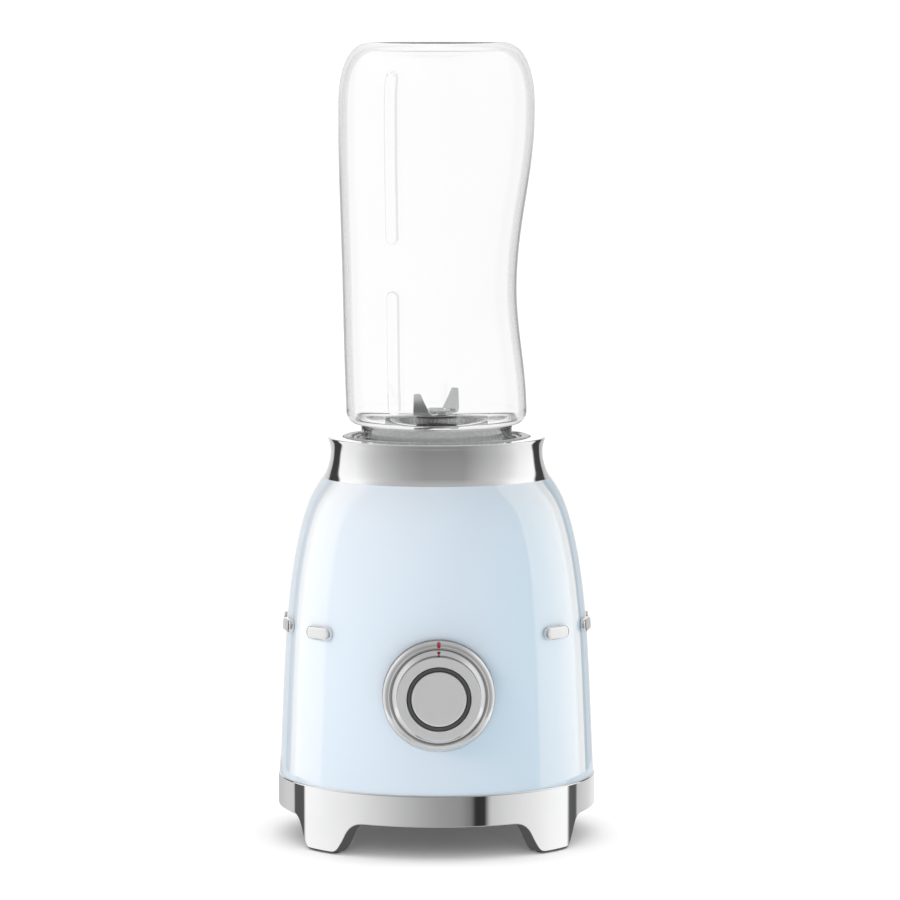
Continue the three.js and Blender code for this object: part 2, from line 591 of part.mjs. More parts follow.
// Blade holder: outer cup with the female thread, a dome that fills the bottle's neck, four keys
function addBladeHolder() {
  const shell = turned([
    [HOLDER_BORE_R, HOLDER_BOTTOM], [HOLDER_R, HOLDER_BOTTOM], [HOLDER_R, HOLDER_TOP - HOLDER_EDGE],
    [HOLDER_R - HOLDER_EDGE, HOLDER_TOP], [HOLDER_BORE_R, HOLDER_TOP], [HOLDER_BORE_R, HOLDER_FLOOR],
    ...DOME_LINE, ...DOME_UNDERSIDE, [HOLDER_BORE_R, HOLDER_UNDERSIDE],
  ], 36);
  const keys = KEY_ANGLES.map((angle) => (
    box(HOLDER_KEY.depth, HOLDER_KEY.width, HOLDER_KEY.height)
      .translate(HOLDER_KEY.middleR, 0, HOLDER_KEY.z).rotateZ(radians(angle))
  ));
  const thread = threadRidge(HOLDER_BORE_R + GAP, HOLDER_BORE_R - THREAD.height, THREAD.start);
  piece('blade_holder', join(shell, ...keys, thread), FINISH.greyPlastic);
  piece('shaft_bush', ring(BUSH.innerR, BUSH.outerR, BUSH.low, BUSH.high, 16), FINISH.brass);
  piece('shaft_seal', ring(BUSH.innerR, SHAFT_SEAL_R, DOME_TOP + GAP, DOME_TOP + 1, 16), FINISH.rubber);
  const seal = ring(NECK_SEAL.innerR, NECK_SEAL.outerR, HOLDER_FLOOR + GAP, MOUTH_Z - GAP, 32);
  piece('neck_seal', seal, FINISH.silicone);
}

// Blades: a drooping pair and an upright pair, cut from strip, on one shaft
function addBlades() {
  const { radius, low, top, boreR } = BLADE_SHAFT;
  piece('blade_shaft', turned([
    [0, low], [radius, low], [radius, top - 0.6], [radius - 0.6, top], [0, top],
  ], 12), FINISH.steel);
  const bore = post(boreR, 150, 180, 12);

  const under = LOWER_LINE.map(([s, z]) => [s, z - BLADE_THICKNESS]).reverse();
  const drooping = prism([...LOWER_LINE, ...under], -6, 6).rotateX(Math.PI / 2);
  const leaf = prism(LOWER_LEAF, 160, 175);
  piece('lower_blade', cut(common(drooping, leaf), bore), FINISH.steel);

  const upright = prism(UPPER_SECTION, -6, 6).rotateX(Math.PI / 2);
  const outward = prism(WING_LEAF, 0, 30).rotateX(Math.PI / 2).rotateZ(Math.PI / 2);
  const wings = common(upright, join(outward, facing(outward, 180)));
  piece('upper_blade', cut(wings, bore), FINISH.steel).rotation.z = radians(UPPER_ANGLE);

  const hexagon = Array.from({ length: 6 }, (_, i) => (
    [NUT.radius * Math.cos(i * Math.PI / 3), NUT.radius * Math.sin(i * Math.PI / 3)]
  ));
  piece('blade_nut', cut(prism(hexagon, NUT.low, NUT.high), bore), FINISH.steel);
}

function gripDepth(z) {
  const reach = z < GRIP.centre ? GRIP.down : GRIP.up;
  const along = Math.min(Math.abs(z - GRIP.centre) / reach, 1);
  return GRIP.depth * Math.cos(along * Math.PI / 2) ** 2;
}

/** One level ring of the bottle, pressed in on the right where the grip is. */
function bottleRing([radius, z], sides = 32) {
  const rightScale = radius > GRIP.fromR ? 1 - gripDepth(z) / radius : 1;
  return Array.from({ length: sides }, (_, i) => {
    const angle = i * 2 * Math.PI / sides;
    const across = Math.cos(angle) * (Math.cos(angle) > 0 ? rightScale : 1);
    return new THREE.Vector3(radius * across, radius * Math.sin(angle), z);
  });
}

function addBottle() {
  const wallLine = smooth(BOTTLE_LINE, 11);
  const end = [[BOTTLE_END_R, BOTTLE_TOP], [0, BOTTLE_TOP]];
  const outside = [[NECK_R, MOUTH_Z], [NECK_R, NECK_TOP], ...wallLine, ...end];
  const insideWall = offsetLine(wallLine, BOTTLE_WALL).filter(([, z]) => z > 168.5 && z < 311);
  const inside = [
    [NECK_INNER_R, MOUTH_Z], [NECK_INNER_R, NECK_TOP + 0.8], [31.4, 167], ...insideWall,
    [BOTTLE_END_R - 1, BOTTLE_TOP - BOTTLE_END - 0.2], [0, BOTTLE_TOP - BOTTLE_END],
  ];
  const vessel = skinned([...inside.reverse(), ...outside].map((point) => bottleRing(point)));

  const root = [0, NECK_TOP + 2.4];
  const proud = [[NECK_R, root[1]], ...wallLine, ...end].map(([r, z]) => [r ? r + RIB.height : 0, z]);
  const limit = skinned([root, ...proud].map((point) => bottleRing(point)));
  const ribs = RIBS.map(([low, high]) => {
    const raised = prism(barShape(high - low, RIB.width), RIB.rootR, 45, 3).rotateY(Math.PI / 2);
    return common(raised.translate(0, 0, (low + high) / 2).rotateZ(radians(RIB.angle - 90)), limit);
  });
  const { root: sunk, height, start, pitch } = THREAD;
  const thread = threadRidge(NECK_R - sunk, NECK_R + height, start + pitch / 2);
  piece('bottle', join(vessel, ...ribs, thread), FINISH.clear);
}

/** A small upright bar on the front, its middle at a height above the dial's middle. */
function frontMark({ length, width, back, front, above }) {
  const mark = prism(barShape(length, width), back, front, 4).rotateZ(Math.PI / 2);
  return mark.rotateX(Math.PI / 2).translate(0, 0, DIAL_Z + above);
}

// Speed dial: fixed bezel, turning dial with its dark ring, and a push button in the middle
function addDial() {
  const bezel = turnedToFront(BEZEL_OUTLINE, 32);
  const envelope = turned([[0, 26], ...bodyLine.map(([r, z]) => [r + GAP, z]), [0, DECK_TOP]], 40);
  const throatR = DIAL_HOLE_R - 0.1;
  const throat = turnedToFront([[0, 40], [throatR, 40], [throatR, 70], [0, 70]], 32);
  piece('bezel_ring', cut(bezel, cut(envelope, throat)), FINISH.chrome);
  piece('index_mark', frontMark(INDEX_MARK), FINISH.red);

  piece('speed_dial', turnedToFront(DIAL_OUTLINE, 32), FINISH.satin);
  piece('dial_mark', frontMark(DIAL_MARK), FINISH.red);
  const dark = ring(LIGHT_RING.innerR, LIGHT_RING.outerR, LIGHT_RING.back, LIGHT_RING.front, 28);
  piece('light_ring', dark.rotateX(Math.PI / 2).translate(0, 0, DIAL_Z), FINISH.darkPlastic);
  const spindle = post(DIAL_SHAFT.radius, DIAL_SHAFT.back, DIAL_SHAFT.front, 12);
  piece('dial_shaft', spindle.rotateX(Math.PI / 2).translate(0, 0, DIAL_Z), FINISH.steel);
  piece('push_button', turnedToFront(BUTTON_OUTLINE, 28), FINISH.satin);

  const switchBody = box(SWITCH.width, SWITCH.depth, SWITCH.width).translate(0, -SWITCH.forward, DIAL_Z);
  const bore = post(SWITCH.boreR, BOARD.forward + 0.2, 60, 12).rotateX(Math.PI / 2);
  piece('rotary_switch', cut(switchBody, bore.translate(0, 0, DIAL_Z)), FINISH.darkPlastic);
  const board = box(BOARD.width, BOARD.thickness, BOARD.height).translate(0, -BOARD.forward, DIAL_Z);
  piece('control_board', board, FINISH.board);
}

// Cord gland in the back of the body, with its nut inside
function addGland() {
  const toBack = (outline) => turned(outline, 20).rotateX(-Math.PI / 2).translate(0, 0, GLAND_Z);
  piece('cord_gland', toBack(GLAND_OUTLINE), FINISH.darkPlastic);
  const { innerR, outerR, front, back } = GLAND_NUT;
  const nut = toBack([[innerR, front], [outerR, front], [outerR, back], [innerR, back]]);
  piece('gland_nut', nut, FINISH.darkPlastic);
}

// Interlock: a pin that the blade unit pushes down onto a switch under the deck
function addInterlock() {
  const { pinR, pinBottom, pinTop, switchZ } = INTERLOCK;
  piece('interlock_pin', atInterlock(turned([
    [0, pinBottom], [pinR, pinBottom], [pinR, pinTop - GAP], [pinR - GAP, pinTop], [0, pinTop],
  ], 8)), FINISH.silicone);
  piece('interlock_switch', atInterlock(box(6, 10, 8).translate(0, 0, switchZ)), FINISH.darkPlastic);
}

addBase();
addBottomCover();
addBodyShell();
addSideBars();
addCollarAndSeat();
addMotor();
addCouplings();
addBladeHolder();
addBlades();
addBottle();
addDial();
addGland();
addInterlock();

export default blender;
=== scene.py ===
"""A countertop blender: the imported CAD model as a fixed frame, with smooth surfaces and real
finishes built around it. Outlines are in millimetres, measured from the motor axis; the mesh
helpers turn them into metres in the shared frame."""
import json
import math

import bmesh
import bpy
import numpy as np
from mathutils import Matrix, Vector


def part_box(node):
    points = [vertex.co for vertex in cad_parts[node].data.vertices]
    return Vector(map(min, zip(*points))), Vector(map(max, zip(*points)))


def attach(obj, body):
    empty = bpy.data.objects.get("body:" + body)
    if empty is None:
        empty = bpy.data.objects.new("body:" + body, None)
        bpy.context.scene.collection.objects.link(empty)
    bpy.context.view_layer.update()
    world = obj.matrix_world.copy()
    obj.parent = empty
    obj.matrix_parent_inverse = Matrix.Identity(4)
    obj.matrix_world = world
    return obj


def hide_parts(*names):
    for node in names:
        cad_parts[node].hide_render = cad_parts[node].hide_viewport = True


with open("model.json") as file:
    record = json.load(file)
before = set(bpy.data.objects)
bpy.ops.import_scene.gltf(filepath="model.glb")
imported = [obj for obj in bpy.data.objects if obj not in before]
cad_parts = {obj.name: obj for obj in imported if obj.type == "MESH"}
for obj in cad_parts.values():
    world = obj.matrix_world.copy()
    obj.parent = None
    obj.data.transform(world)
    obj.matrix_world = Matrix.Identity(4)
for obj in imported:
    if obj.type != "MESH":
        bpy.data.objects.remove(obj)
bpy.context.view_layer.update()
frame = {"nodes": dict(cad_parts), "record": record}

MM = 0.001
TAU = 2 * math.pi


# ---- places, from the frame ------------------------------------------------------------------

AXIS_Y = sum(corner.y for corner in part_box("base_ring")) / 2


def extent(node):
    """Lowest and highest corner of a CAD node, in millimetres from the motor axis."""
    return [Vector((p.x, p.y - AXIS_Y, p.z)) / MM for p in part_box(node)]


def half_width(node):
    low, high = extent(node)
    return (high.x - low.x) / 2


DIAL_Z = sum(corner.z for corner in extent("speed_dial")) / 2
GLAND_Z = sum(corner.z for corner in extent("cord_gland")) / 2
BAR_Z = sum(corner.z for corner in extent("side_bar_left_1")) / 2


# ---- outlines --------------------------------------------------------------------------------

def spline(knots, count):
    """A smooth line (a natural cubic spline) through [x, y] knots."""
    knots = np.array(knots, float)
    chord = np.hypot(*np.diff(knots, axis=0).T)
    t = np.concatenate([[0], np.cumsum(chord)])
    n = len(t)
    matrix, right = np.eye(n), np.zeros((n, 2))
    for i in range(1, n - 1):
        before, after = t[i] - t[i - 1], t[i + 1] - t[i]
        matrix[i, i - 1:i + 2] = before, 2 * (before + after), after
        right[i] = 6 * ((knots[i + 1] - knots[i]) / after - (knots[i] - knots[i - 1]) / before)
    bend = np.linalg.solve(matrix, right)
    line = []
    for at in np.linspace(0, t[-1], count):
        i = min(np.searchsorted(t, at, side="right") - 1, n - 2)
        step, u, v = t[i + 1] - t[i], at - t[i], t[i + 1] - at
        point = (bend[i] * v ** 3 + bend[i + 1] * u ** 3) / (6 * step)
        point += ((knots[i] / step - bend[i] * step / 6) * v
                  + (knots[i + 1] / step - bend[i + 1] * step / 6) * u)
        line.append(tuple(point))
    return line


def rounded(outline, steps=6, looped=True):
    """An outline of (x, y) or (x, y, radius) points, with an arc at each corner that has a radius."""
    count = len(outline)
    points = [np.array(point[:2], float) for point in outline]
    reach, halves = [], []
    for i, point in enumerate(outline):
        radius = point[2] if len(point) > 2 and (looped or 0 < i < count - 1) else 0
        before, after = points[i - 1] - points[i], points[(i + 1) % count] - points[i]
        cosine = before @ after / max(np.linalg.norm(before) * np.linalg.norm(after), 1e-9)
        half = math.acos(np.clip(cosine, -1, 1)) / 2
        halves.append(half)
        reach.append(radius / math.tan(half) if radius else 0)
    result = []
    for i, here in enumerate(points):
        if not reach[i]:
            result.append(tuple(here))
            continue
        previous, following = (i - 1) % count, (i + 1) % count
        before, after = points[previous] - here, points[following] - here
        long_before, long_after = np.linalg.norm(before), np.linalg.norm(after)
        before, after = before / long_before, after / long_after
        radius = reach[i] * math.tan(halves[i])
        middle = before + after
        centre = here + middle / np.linalg.norm(middle) * radius / math.sin(halves[i])
        start, end = here + before * reach[i] - centre, here + after * reach[i] - centre
        turn = math.atan2(start[0] * end[1] - start[1] * end[0], start @ end)
        spare = (long_before - reach[i] - reach[previous], long_after - reach[i] - reach[following])
        if spare[0] > 0.1:
            result.append(tuple(here + before * (reach[i] + min(0.3 * radius, spare[0] / 3))))
        for k in range(steps + 1):
            cos, sin = math.cos(turn * k / steps), math.sin(turn * k / steps)
            result.append((centre[0] + cos * start[0] - sin * start[1],
                           centre[1] + sin * start[0] + cos * start[1]))
        if spare[1] > 0.1:
            result.append(tuple(here + after * (reach[i] + min(0.3 * radius, spare[1] / 3))))
    return result


def moved_in(line, distance):
    """A line moved sideways, to its left, by a distance."""
    line = np.array(line, float)
    direction = np.gradient(line, axis=0)
    direction /= np.linalg.norm(direction, axis=1)[:, None]
    return [tuple(p) for p in line + distance * np.stack([-direction[:, 1], direction[:, 0]], axis=1)]


def ease(value):
    """0 to 1, smoothly."""
    value = min(max(value, 0.0), 1.0)
    return value * value * (3 - 2 * value)


# ---- meshes ----------------------------------------------------------------------------------

def grid(rows, wrap_rows=False, wrap_columns=True):
    """Points and faces of a sheet through equal rows of points."""
    width = len(rows[0])
    faces = []
    for i in range(len(rows) if wrap_rows else len(rows) - 1):
        for j in range(width if wrap_columns else width - 1):
            a, b = i * width, (i + 1) % len(rows) * width
            faces.append((a + j, a + (j + 1) % width, b + (j + 1) % width, b + j))
    return [point for row in rows for point in row], faces


def capped(rows):
    """A sheet through rings of points, closed at both ends."""
    points, faces = grid(rows)
    width = len(rows[0])
    return points, faces + [tuple(range(width)), tuple(range(len(points) - width, len(points)))]


def revolve(outline, steps=160):
    """A closed [radius, height] outline turned about the motor axis."""
    return grid([
        [(r * math.sin(a), -r * math.cos(a), z) for r, z in outline]
        for a in (TAU * i / steps for i in range(steps))
    ], wrap_rows=True)


def to_front(shape):
    """A shape turned about the upright axis, laid down to face the front at the dial's height."""
    points, faces = shape
    return [(x, -z, DIAL_Z - y) for x, y, z in points], faces


def to_back(shape, height):
    """The same, laid down to face the back."""
    points, faces = shape
    return [(x, z, height + y) for x, y, z in points], faces


def turned_by(shape, degrees):
    angle = math.radians(degrees)
    cos, sin = math.cos(angle), math.sin(angle)
    points, faces = shape
    return [(x * cos - y * sin, x * sin + y * cos, z) for x, y, z in points], faces


def shifted(shape, dx=0, dy=0, dz=0):
    points, faces = shape
    return [(x + dx, y + dy, z + dz) for x, y, z in points], faces


def together(*shapes):
    points, faces = [], []
    for part_points, part_faces in shapes:
        base = len(points)
        points += part_points
        faces += [tuple(base + i for i in face) for face in part_faces]
    return points, faces


def block(size_x, size_y, size_z, bevel=0.4):
    """A block with rounded edges, as stacked rounded rectangles."""
    def layer(inset, z):
        x, y = size_x / 2 - inset, size_y / 2 - inset
        corners = [(-x, -y, bevel), (x, -y, bevel), (x, y, bevel), (-x, y, bevel)]
        return [(px, py, z) for px, py in rounded(corners, 4)]
    steps = [(bevel * (1 - math.sin(a)), size_z / 2 - bevel * (1 - math.cos(a)))
             for a in (math.pi / 2 * i / 4 for i in range(5))]
    rows = [layer(inset, -z) for inset, z in steps] + [layer(inset, z) for inset, z in reversed(steps)]
    return capped(rows)


def in_frame(point):
    """A point in millimetres from the motor axis, in metres in the shared frame."""
    x, y, z = point
    return x * MM, y * MM + AXIS_Y, z * MM


def place(name, data):
    """A new object in the scene."""
    made = bpy.data.objects.new(name, data)
    bpy.context.scene.collection.objects.link(made)
    return made


def add_piece(name, shape, material, body, replaces=(), sharp=32):
    """A closed mesh that rides on a body, in place of CAD nodes."""
    points, faces = shape
    mesh = bpy.data.meshes.new(name)
    mesh.from_pydata([in_frame(p) for p in points], [], faces)
    work = bmesh.new()
    work.from_mesh(mesh)
    bmesh.ops.remove_doubles(work, verts=work.verts, dist=2e-6)
    bmesh.ops.recalc_face_normals(work, faces=work.faces)
    work.to_mesh(mesh)
    work.free()
    mesh.shade_smooth()
    mesh.set_sharp_from_angle(angle=math.radians(sharp))
    mesh.materials.append(material)
    piece = place(name, mesh)
    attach(piece, body)
    if replaces:
        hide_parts(*([replaces] if isinstance(replaces, str) else replaces))
    return piece


# ---- materials -------------------------------------------------------------------------------

class Graph:
    """Shorthand for building a tree of shader nodes."""

    def __init__(self, tree):
        self.tree = tree

    def node(self, kind, **settings):
        made = self.tree.nodes.new(kind)
        for key, value in settings.items():
            setattr(made, key, value)
        return made

    def link(self, source, target):
        self.tree.links.new(source, target)

    def put(self, value, socket):
        if isinstance(value, (int, float)):
            socket.default_value = value
        else:
            self.link(value, socket)

    def maths(self, operation, *values):
        made = self.node("ShaderNodeMath", operation=operation)
        for value, socket in zip(values, made.inputs):
            self.put(value, socket)
        return made.outputs["Value"]

    def rise(self, source, start, end, low=0.0, high=1.0):
        span = self.node("ShaderNodeMapRange")
        for value, socket in zip((source, start, end, low, high), span.inputs):
            self.put(value, socket)
        return span.outputs["Result"]

    def mixed(self, factor, low, high):
        return self.maths("ADD", low, self.maths("MULTIPLY", factor, self.maths("SUBTRACT", high, low)))

    def band(self, x, y, stops):
        """Brightness by the direction of (x, y), from stops of degrees to the right of the front."""
        turn = self.maths("ARCTAN2", x, self.maths("MULTIPLY", y, -1.0))
        ramp = self.node("ShaderNodeValToRGB")
        elements = ramp.color_ramp.elements
        top = max(value for _, value in stops)
        while len(elements) < len(stops):
            elements.new(0.5)
        for element, (angle, value) in zip(elements, stops):
            element.position = 0.5 + angle / 360
            element.color = (value / top, value / top, value / top, 1)
        self.link(self.maths("MULTIPLY_ADD", turn, 1 / TAU, 0.5), ramp.inputs["Fac"])
        return self.maths("MULTIPLY", ramp.outputs["Color"], top)


class Finish(Graph):
    """A node material built round one Principled shader."""

    def __init__(self, name, **sockets):
        self.material = bpy.data.materials.new(name)
        self.material.use_nodes = True
        super().__init__(self.material.node_tree)
        self.shader = self.tree.nodes["Principled BSDF"]
        self.place = self.node("ShaderNodeTexCoord").outputs["Object"]
        for socket, value in sockets.items():
            self.shader.inputs[socket.replace("_", " ")].default_value = value

    def noise(self, scale, detail=3.0, stretch=None, rough=0.5):
        """Noise of a scale in cells per metre; stretch scales X, Y and Z apart."""
        texture = self.node("ShaderNodeTexNoise")
        texture.inputs["Scale"].default_value = scale
        texture.inputs["Detail"].default_value = detail
        texture.inputs["Roughness"].default_value = rough
        place = self.place
        if stretch:
            mapping = self.node("ShaderNodeMapping")
            mapping.inputs["Scale"].default_value = stretch
            self.link(place, mapping.inputs["Vector"])
            place = mapping.outputs["Vector"]
        self.link(place, texture.inputs["Vector"])
        return texture.outputs["Fac"]

    def spread(self, source, low, high, start=0.3, end=0.7):
        """A value between two numbers, from a source between start and end."""
        span = self.node("ShaderNodeMapRange")
        for socket, value in zip(("From Min", "From Max", "To Min", "To Max"), (start, end, low, high)):
            span.inputs[socket].default_value = value
        self.link(source, span.inputs["Value"])
        return span.outputs["Result"]

    def blend(self, source, first, second):
        """A colour between two colours."""
        mix = self.node("ShaderNodeMix", data_type="RGBA")
        colours = [socket for socket in mix.inputs if socket.type == "RGBA"]
        colours[0].default_value, colours[1].default_value = (*first, 1), (*second, 1)
        self.link(source, mix.inputs["Factor"])
        return next(socket for socket in mix.outputs if socket.type == "RGBA")

    def colour(self, source, first, second):
        self.link(self.blend(source, first, second), self.shader.inputs["Base Color"])
        return self

    def rough(self, source, low, high):
        self.link(self.spread(source, low, high), self.shader.inputs["Roughness"])
        return self

    def bump(self, source, depth, strength=1.0):
        """Relief of a depth in millimetres."""
        bump = self.node("ShaderNodeBump")
        bump.inputs["Distance"].default_value = depth * MM
        bump.inputs["Strength"].default_value = strength
        self.link(source, bump.inputs["Height"])
        self.link(bump.outputs["Normal"], self.shader.inputs["Normal"])
        return self


def lacquer():
    """Glossy pale blue paint under clear lacquer, with the faint orange peel of a sprayed coat."""
    made = Finish("blue_lacquer", Coat_Weight=1.0, Coat_Roughness=0.015, Coat_IOR=1.5,
                  Specular_IOR_Level=0.15)
    made.colour(made.spread(made.noise(14, 2), 0, 1), (0.652, 0.803, 0.930), (0.662, 0.811, 0.936))
    made.rough(made.noise(260, 3), 0.42, 0.5)
    peel = made.node("ShaderNodeBump")
    peel.inputs["Distance"].default_value = 0.0012 * MM
    made.link(made.noise(300, 1), peel.inputs["Height"])
    made.link(peel.outputs["Normal"], made.shader.inputs["Coat Normal"])
    return made.material


def chrome(name, low, high):
    """Polished plating, with a barely uneven polish."""
    made = Finish(name, Metallic=1.0)
    made.colour(made.spread(made.noise(60, 2), 0, 1), (0.860, 0.862, 0.866), (0.885, 0.886, 0.888))
    made.rough(made.noise(350, 4), low, high)
    made.bump(made.noise(140, 2), 0.0015)
    return made.material


def spun_metal():
    """Satin silver with fine turning marks about the dial's level axis."""
    made = Finish("spun_satin_metal", Metallic=0.4)
    split = made.node("ShaderNodeSeparateXYZ")
    made.link(made.place, split.inputs["Vector"])
    level = made.node("ShaderNodeMath", operation="SUBTRACT")
    level.inputs[1].default_value = DIAL_Z * MM
    made.link(split.outputs["Z"], level.inputs[0])
    pair = made.node("ShaderNodeCombineXYZ")
    made.link(split.outputs["X"], pair.inputs["X"])
    made.link(level.outputs["Value"], pair.inputs["Y"])
    reach = made.node("ShaderNodeVectorMath", operation="LENGTH")
    made.link(pair.outputs["Vector"], reach.inputs[0])
    rings = made.node("ShaderNodeTexNoise", noise_dimensions="1D")
    rings.inputs["Scale"].default_value = 5200
    rings.inputs["Detail"].default_value = 2
    made.link(reach.outputs["Value"], rings.inputs["W"])
    marks = rings.outputs["Fac"]
    made.colour(made.spread(marks, 0, 1), (0.77, 0.77, 0.772), (0.80, 0.80, 0.801))
    made.rough(marks, 0.34, 0.42)
    made.bump(marks, 0.002)
    return made.material


def steel():
    """Stainless strip with a fine brushed grain."""
    made = Finish("brushed_stainless", Metallic=1.0)
    grain = made.noise(900, 5, stretch=(0.12, 1.0, 1.0))
    made.colour(made.spread(grain, 0, 1), (0.50, 0.505, 0.51), (0.55, 0.555, 0.56))
    made.rough(grain, 0.13, 0.19)
    made.bump(grain, 0.0003)
    return made.material


def moulded(name, first, second, low, high, depth=0.012, **sockets):
    """Moulded plastic or rubber with a fine spark-eroded grain."""
    made = Finish(name, **sockets)
    made.colour(made.spread(made.noise(120, 4), 0, 1), first, second)
    made.rough(made.noise(700, 4), low, high)
    made.bump(made.noise(1500, 3), depth)
    return made.material


def metal(name, first, second, low, high):
    """A plain machined or cast metal."""
    made = Finish(name, Metallic=1.0)
    made.colour(made.spread(made.noise(200, 5), 0, 1), first, second)
    made.rough(made.noise(500, 4), low, high)
    made.bump(made.noise(1100, 4), 0.012)
    return made.material


# Painted shade on the bottle's wall: the factor its colour is multiplied by, from face on (0) to edge on
# (1), standing in for the dark edges that refraction gives it; and the heights between which this
# painted shade fades out toward the flat end, in metres.
PAINTED_EDGE_SHADE = [(0.71, 1.0), (0.77, 0.45), (0.82, 0.10), (0.92, 0.09), (1.0, 0.5)]
PAINTED_EDGE_SHADE_FADE = (0.262, 0.303)


def clear_plastic(name, index=1.5, edges=False, clarity_and_shade=0.993):
    """Clear glossy copolyester with a trace of flow ripple; with edges, painted shade darkens its colour
    where the wall is seen edge on.
    """
    made = Finish(name, Transmission_Weight=1.0, IOR=index)
    tint = made.blend(made.spread(made.noise(30, 2), 0, 1), [clarity_and_shade - 0.003] * 3, [clarity_and_shade + 0.004] * 3)
    # Painted shade: the colour darkens where the wall is seen edge on, in place of the dark edges refraction
    # gives.
    if edges:
        ramp = made.node("ShaderNodeValToRGB")
        elements = ramp.color_ramp.elements
        for i, (position, value) in enumerate(PAINTED_EDGE_SHADE):
            element = elements[i] if i < 2 else elements.new(position)
            element.position, element.color = position, (value, value, value, 1)
        glance = made.node("ShaderNodeLayerWeight")
        made.link(glance.outputs["Facing"], ramp.inputs["Fac"])
        product = made.node("ShaderNodeMix", data_type="RGBA", blend_type="MULTIPLY")
        split = made.node("ShaderNodeSeparateXYZ")
        made.link(made.place, split.inputs["Vector"])
        made.link(made.rise(split.outputs["Z"], *PAINTED_EDGE_SHADE_FADE, 1.0, 0.0), product.inputs["Factor"])
        colours = [socket for socket in product.inputs if socket.type == "RGBA"]
        made.link(tint, colours[0])
        made.link(ramp.outputs["Color"], colours[1])
        tint = next(socket for socket in product.outputs if socket.type == "RGBA")
    made.link(tint, made.shader.inputs["Base Color"])
    made.rough(made.noise(200, 2), 0.0, 0.012)
    made.bump(made.noise(45, 1), 0.003)
    return made.material


PAINT = lacquer()
CHROME = chrome("polished_chrome", 0.03, 0.05)
COLLAR_CHROME = chrome("collar_chrome", 0.06, 0.08)
SATIN_CHROME = chrome("satin_polished_chrome", 0.13, 0.17)
# Dark plating used as painted shade: the bezel's outer side and the dial's step wall.
SHADE_PAINTED_CHROME = metal("painted_shade_plated_edge", (0.20, 0.20, 0.205), (0.24, 0.24, 0.245), 0.26, 0.34)
SPUN = spun_metal()
STEEL = steel()
# The bottle's outer wall carries the painted edge shade.
CLEAR = clear_plastic("clear_copolyester", edges=True)
CLEAR_INSIDE = clear_plastic("clear_copolyester_inside")
CLEAR_NECK = clear_plastic("clear_copolyester_neck", index=1.12)
# Painted shade: the ribs' sloping flanks get a darker clear, standing in for the dark outlines refraction
# gives them.
CLEAR_RIB_PAINTED_SHADE = clear_plastic("clear_copolyester_rib_painted_shade", clarity_and_shade=0.8)
GREY = moulded("satin_grey_plastic", (0.56, 0.565, 0.57), (0.60, 0.605, 0.61), 0.22, 0.32, 0.003)
DARK = moulded("dark_plastic", (0.045, 0.045, 0.047), (0.06, 0.06, 0.062), 0.38, 0.5)
RING_BLACK = moulded("dark_ring_plastic", (0.075, 0.075, 0.077), (0.085, 0.085, 0.087), 0.3, 0.38, 0.004)
RUBBER = moulded("black_rubber", (0.02, 0.02, 0.021), (0.032, 0.032, 0.033), 0.7, 0.85, 0.03)
SILICONE = moulded("pale_silicone", (0.62, 0.63, 0.64), (0.68, 0.69, 0.70), 0.4, 0.55, 0.01,
                    Subsurface_Weight=0.1)
RED = moulded("red_enamel", (0.38, 0.006, 0.012), (0.46, 0.01, 0.018), 0.14, 0.2, 0.003,
               Coat_Weight=0.6)
IRON = metal("plated_motor_iron", (0.25, 0.255, 0.26), (0.36, 0.365, 0.37), 0.4, 0.6)
FERRITE = moulded("dark_ferrite", (0.03, 0.03, 0.032), (0.05, 0.05, 0.052), 0.6, 0.8, 0.03)
COPPER = metal("turned_copper", (0.60, 0.27, 0.14), (0.72, 0.36, 0.20), 0.25, 0.4)
BRASS = metal("sintered_bronze", (0.52, 0.37, 0.14), (0.62, 0.45, 0.19), 0.3, 0.5)
BOARD = moulded("green_laminate", (0.02, 0.12, 0.045), (0.03, 0.16, 0.06), 0.35, 0.5)

SLOT_FINISH = {
    "bright_chrome": CHROME, "body_paint": PAINT, "grey_plastic": GREY, "dark_plastic": DARK,
    "rubber": RUBBER, "silicone": SILICONE, "satin_metal": SPUN, "steel": STEEL, "motor_iron": IRON,
    "ferrite": FERRITE, "copper": COPPER, "brass": BRASS, "red_mark": RED, "circuit_board": BOARD,
    "clear_bottle": CLEAR,
}


def finish_cad_nodes():
    """Every CAD node gets its slot's finish, so the ones that stay shown aren't plain."""
    for subpart in frame["record"]["subparts"]:
        node = frame["nodes"][subpart["node"]]
        node.data.materials.clear()
        node.data.materials.append(SLOT_FINISH[subpart["material_slot"]])


# ---- base ------------------------------------------------------------------------------------

BODY_KNOTS = [(62.8, 25.9), (61.9, 48), (60.3, 80), (57.4, 108), (53.2, 127.6), (49.4, 137.6), (45.4, 144)]
BODY_LINE = spline(BODY_KNOTS, 72)


def body_radius(z):
    heights = [p[1] for p in BODY_LINE]
    return float(np.interp(z, heights, [p[0] for p in BODY_LINE]))


# From the middle of a foot up its flanks to the arches: degrees from the arch's middle, height.
ARCH_TOP = 13
FRONT_FLANK = [(42.5, 0.4), (41.2, 0.5), (39.9, 0.95), (38.7, 2.0), (37.6, 3.6), (36.2, 6),
               (34.4, 9.4), (32.6, 11.4), (30.4, 12.6), (27.6, ARCH_TOP)]
SIDE_FLANK = [(37.9, 0.4), (36.6, 0.5), (35.6, 1.1), (34.7, 2.3), (33.2, 5.3), (31.6, 8.9),
              (30, 11.2), (27.8, 12.6), (24.5, ARCH_TOP)]
ARCH_STEP = 2.5


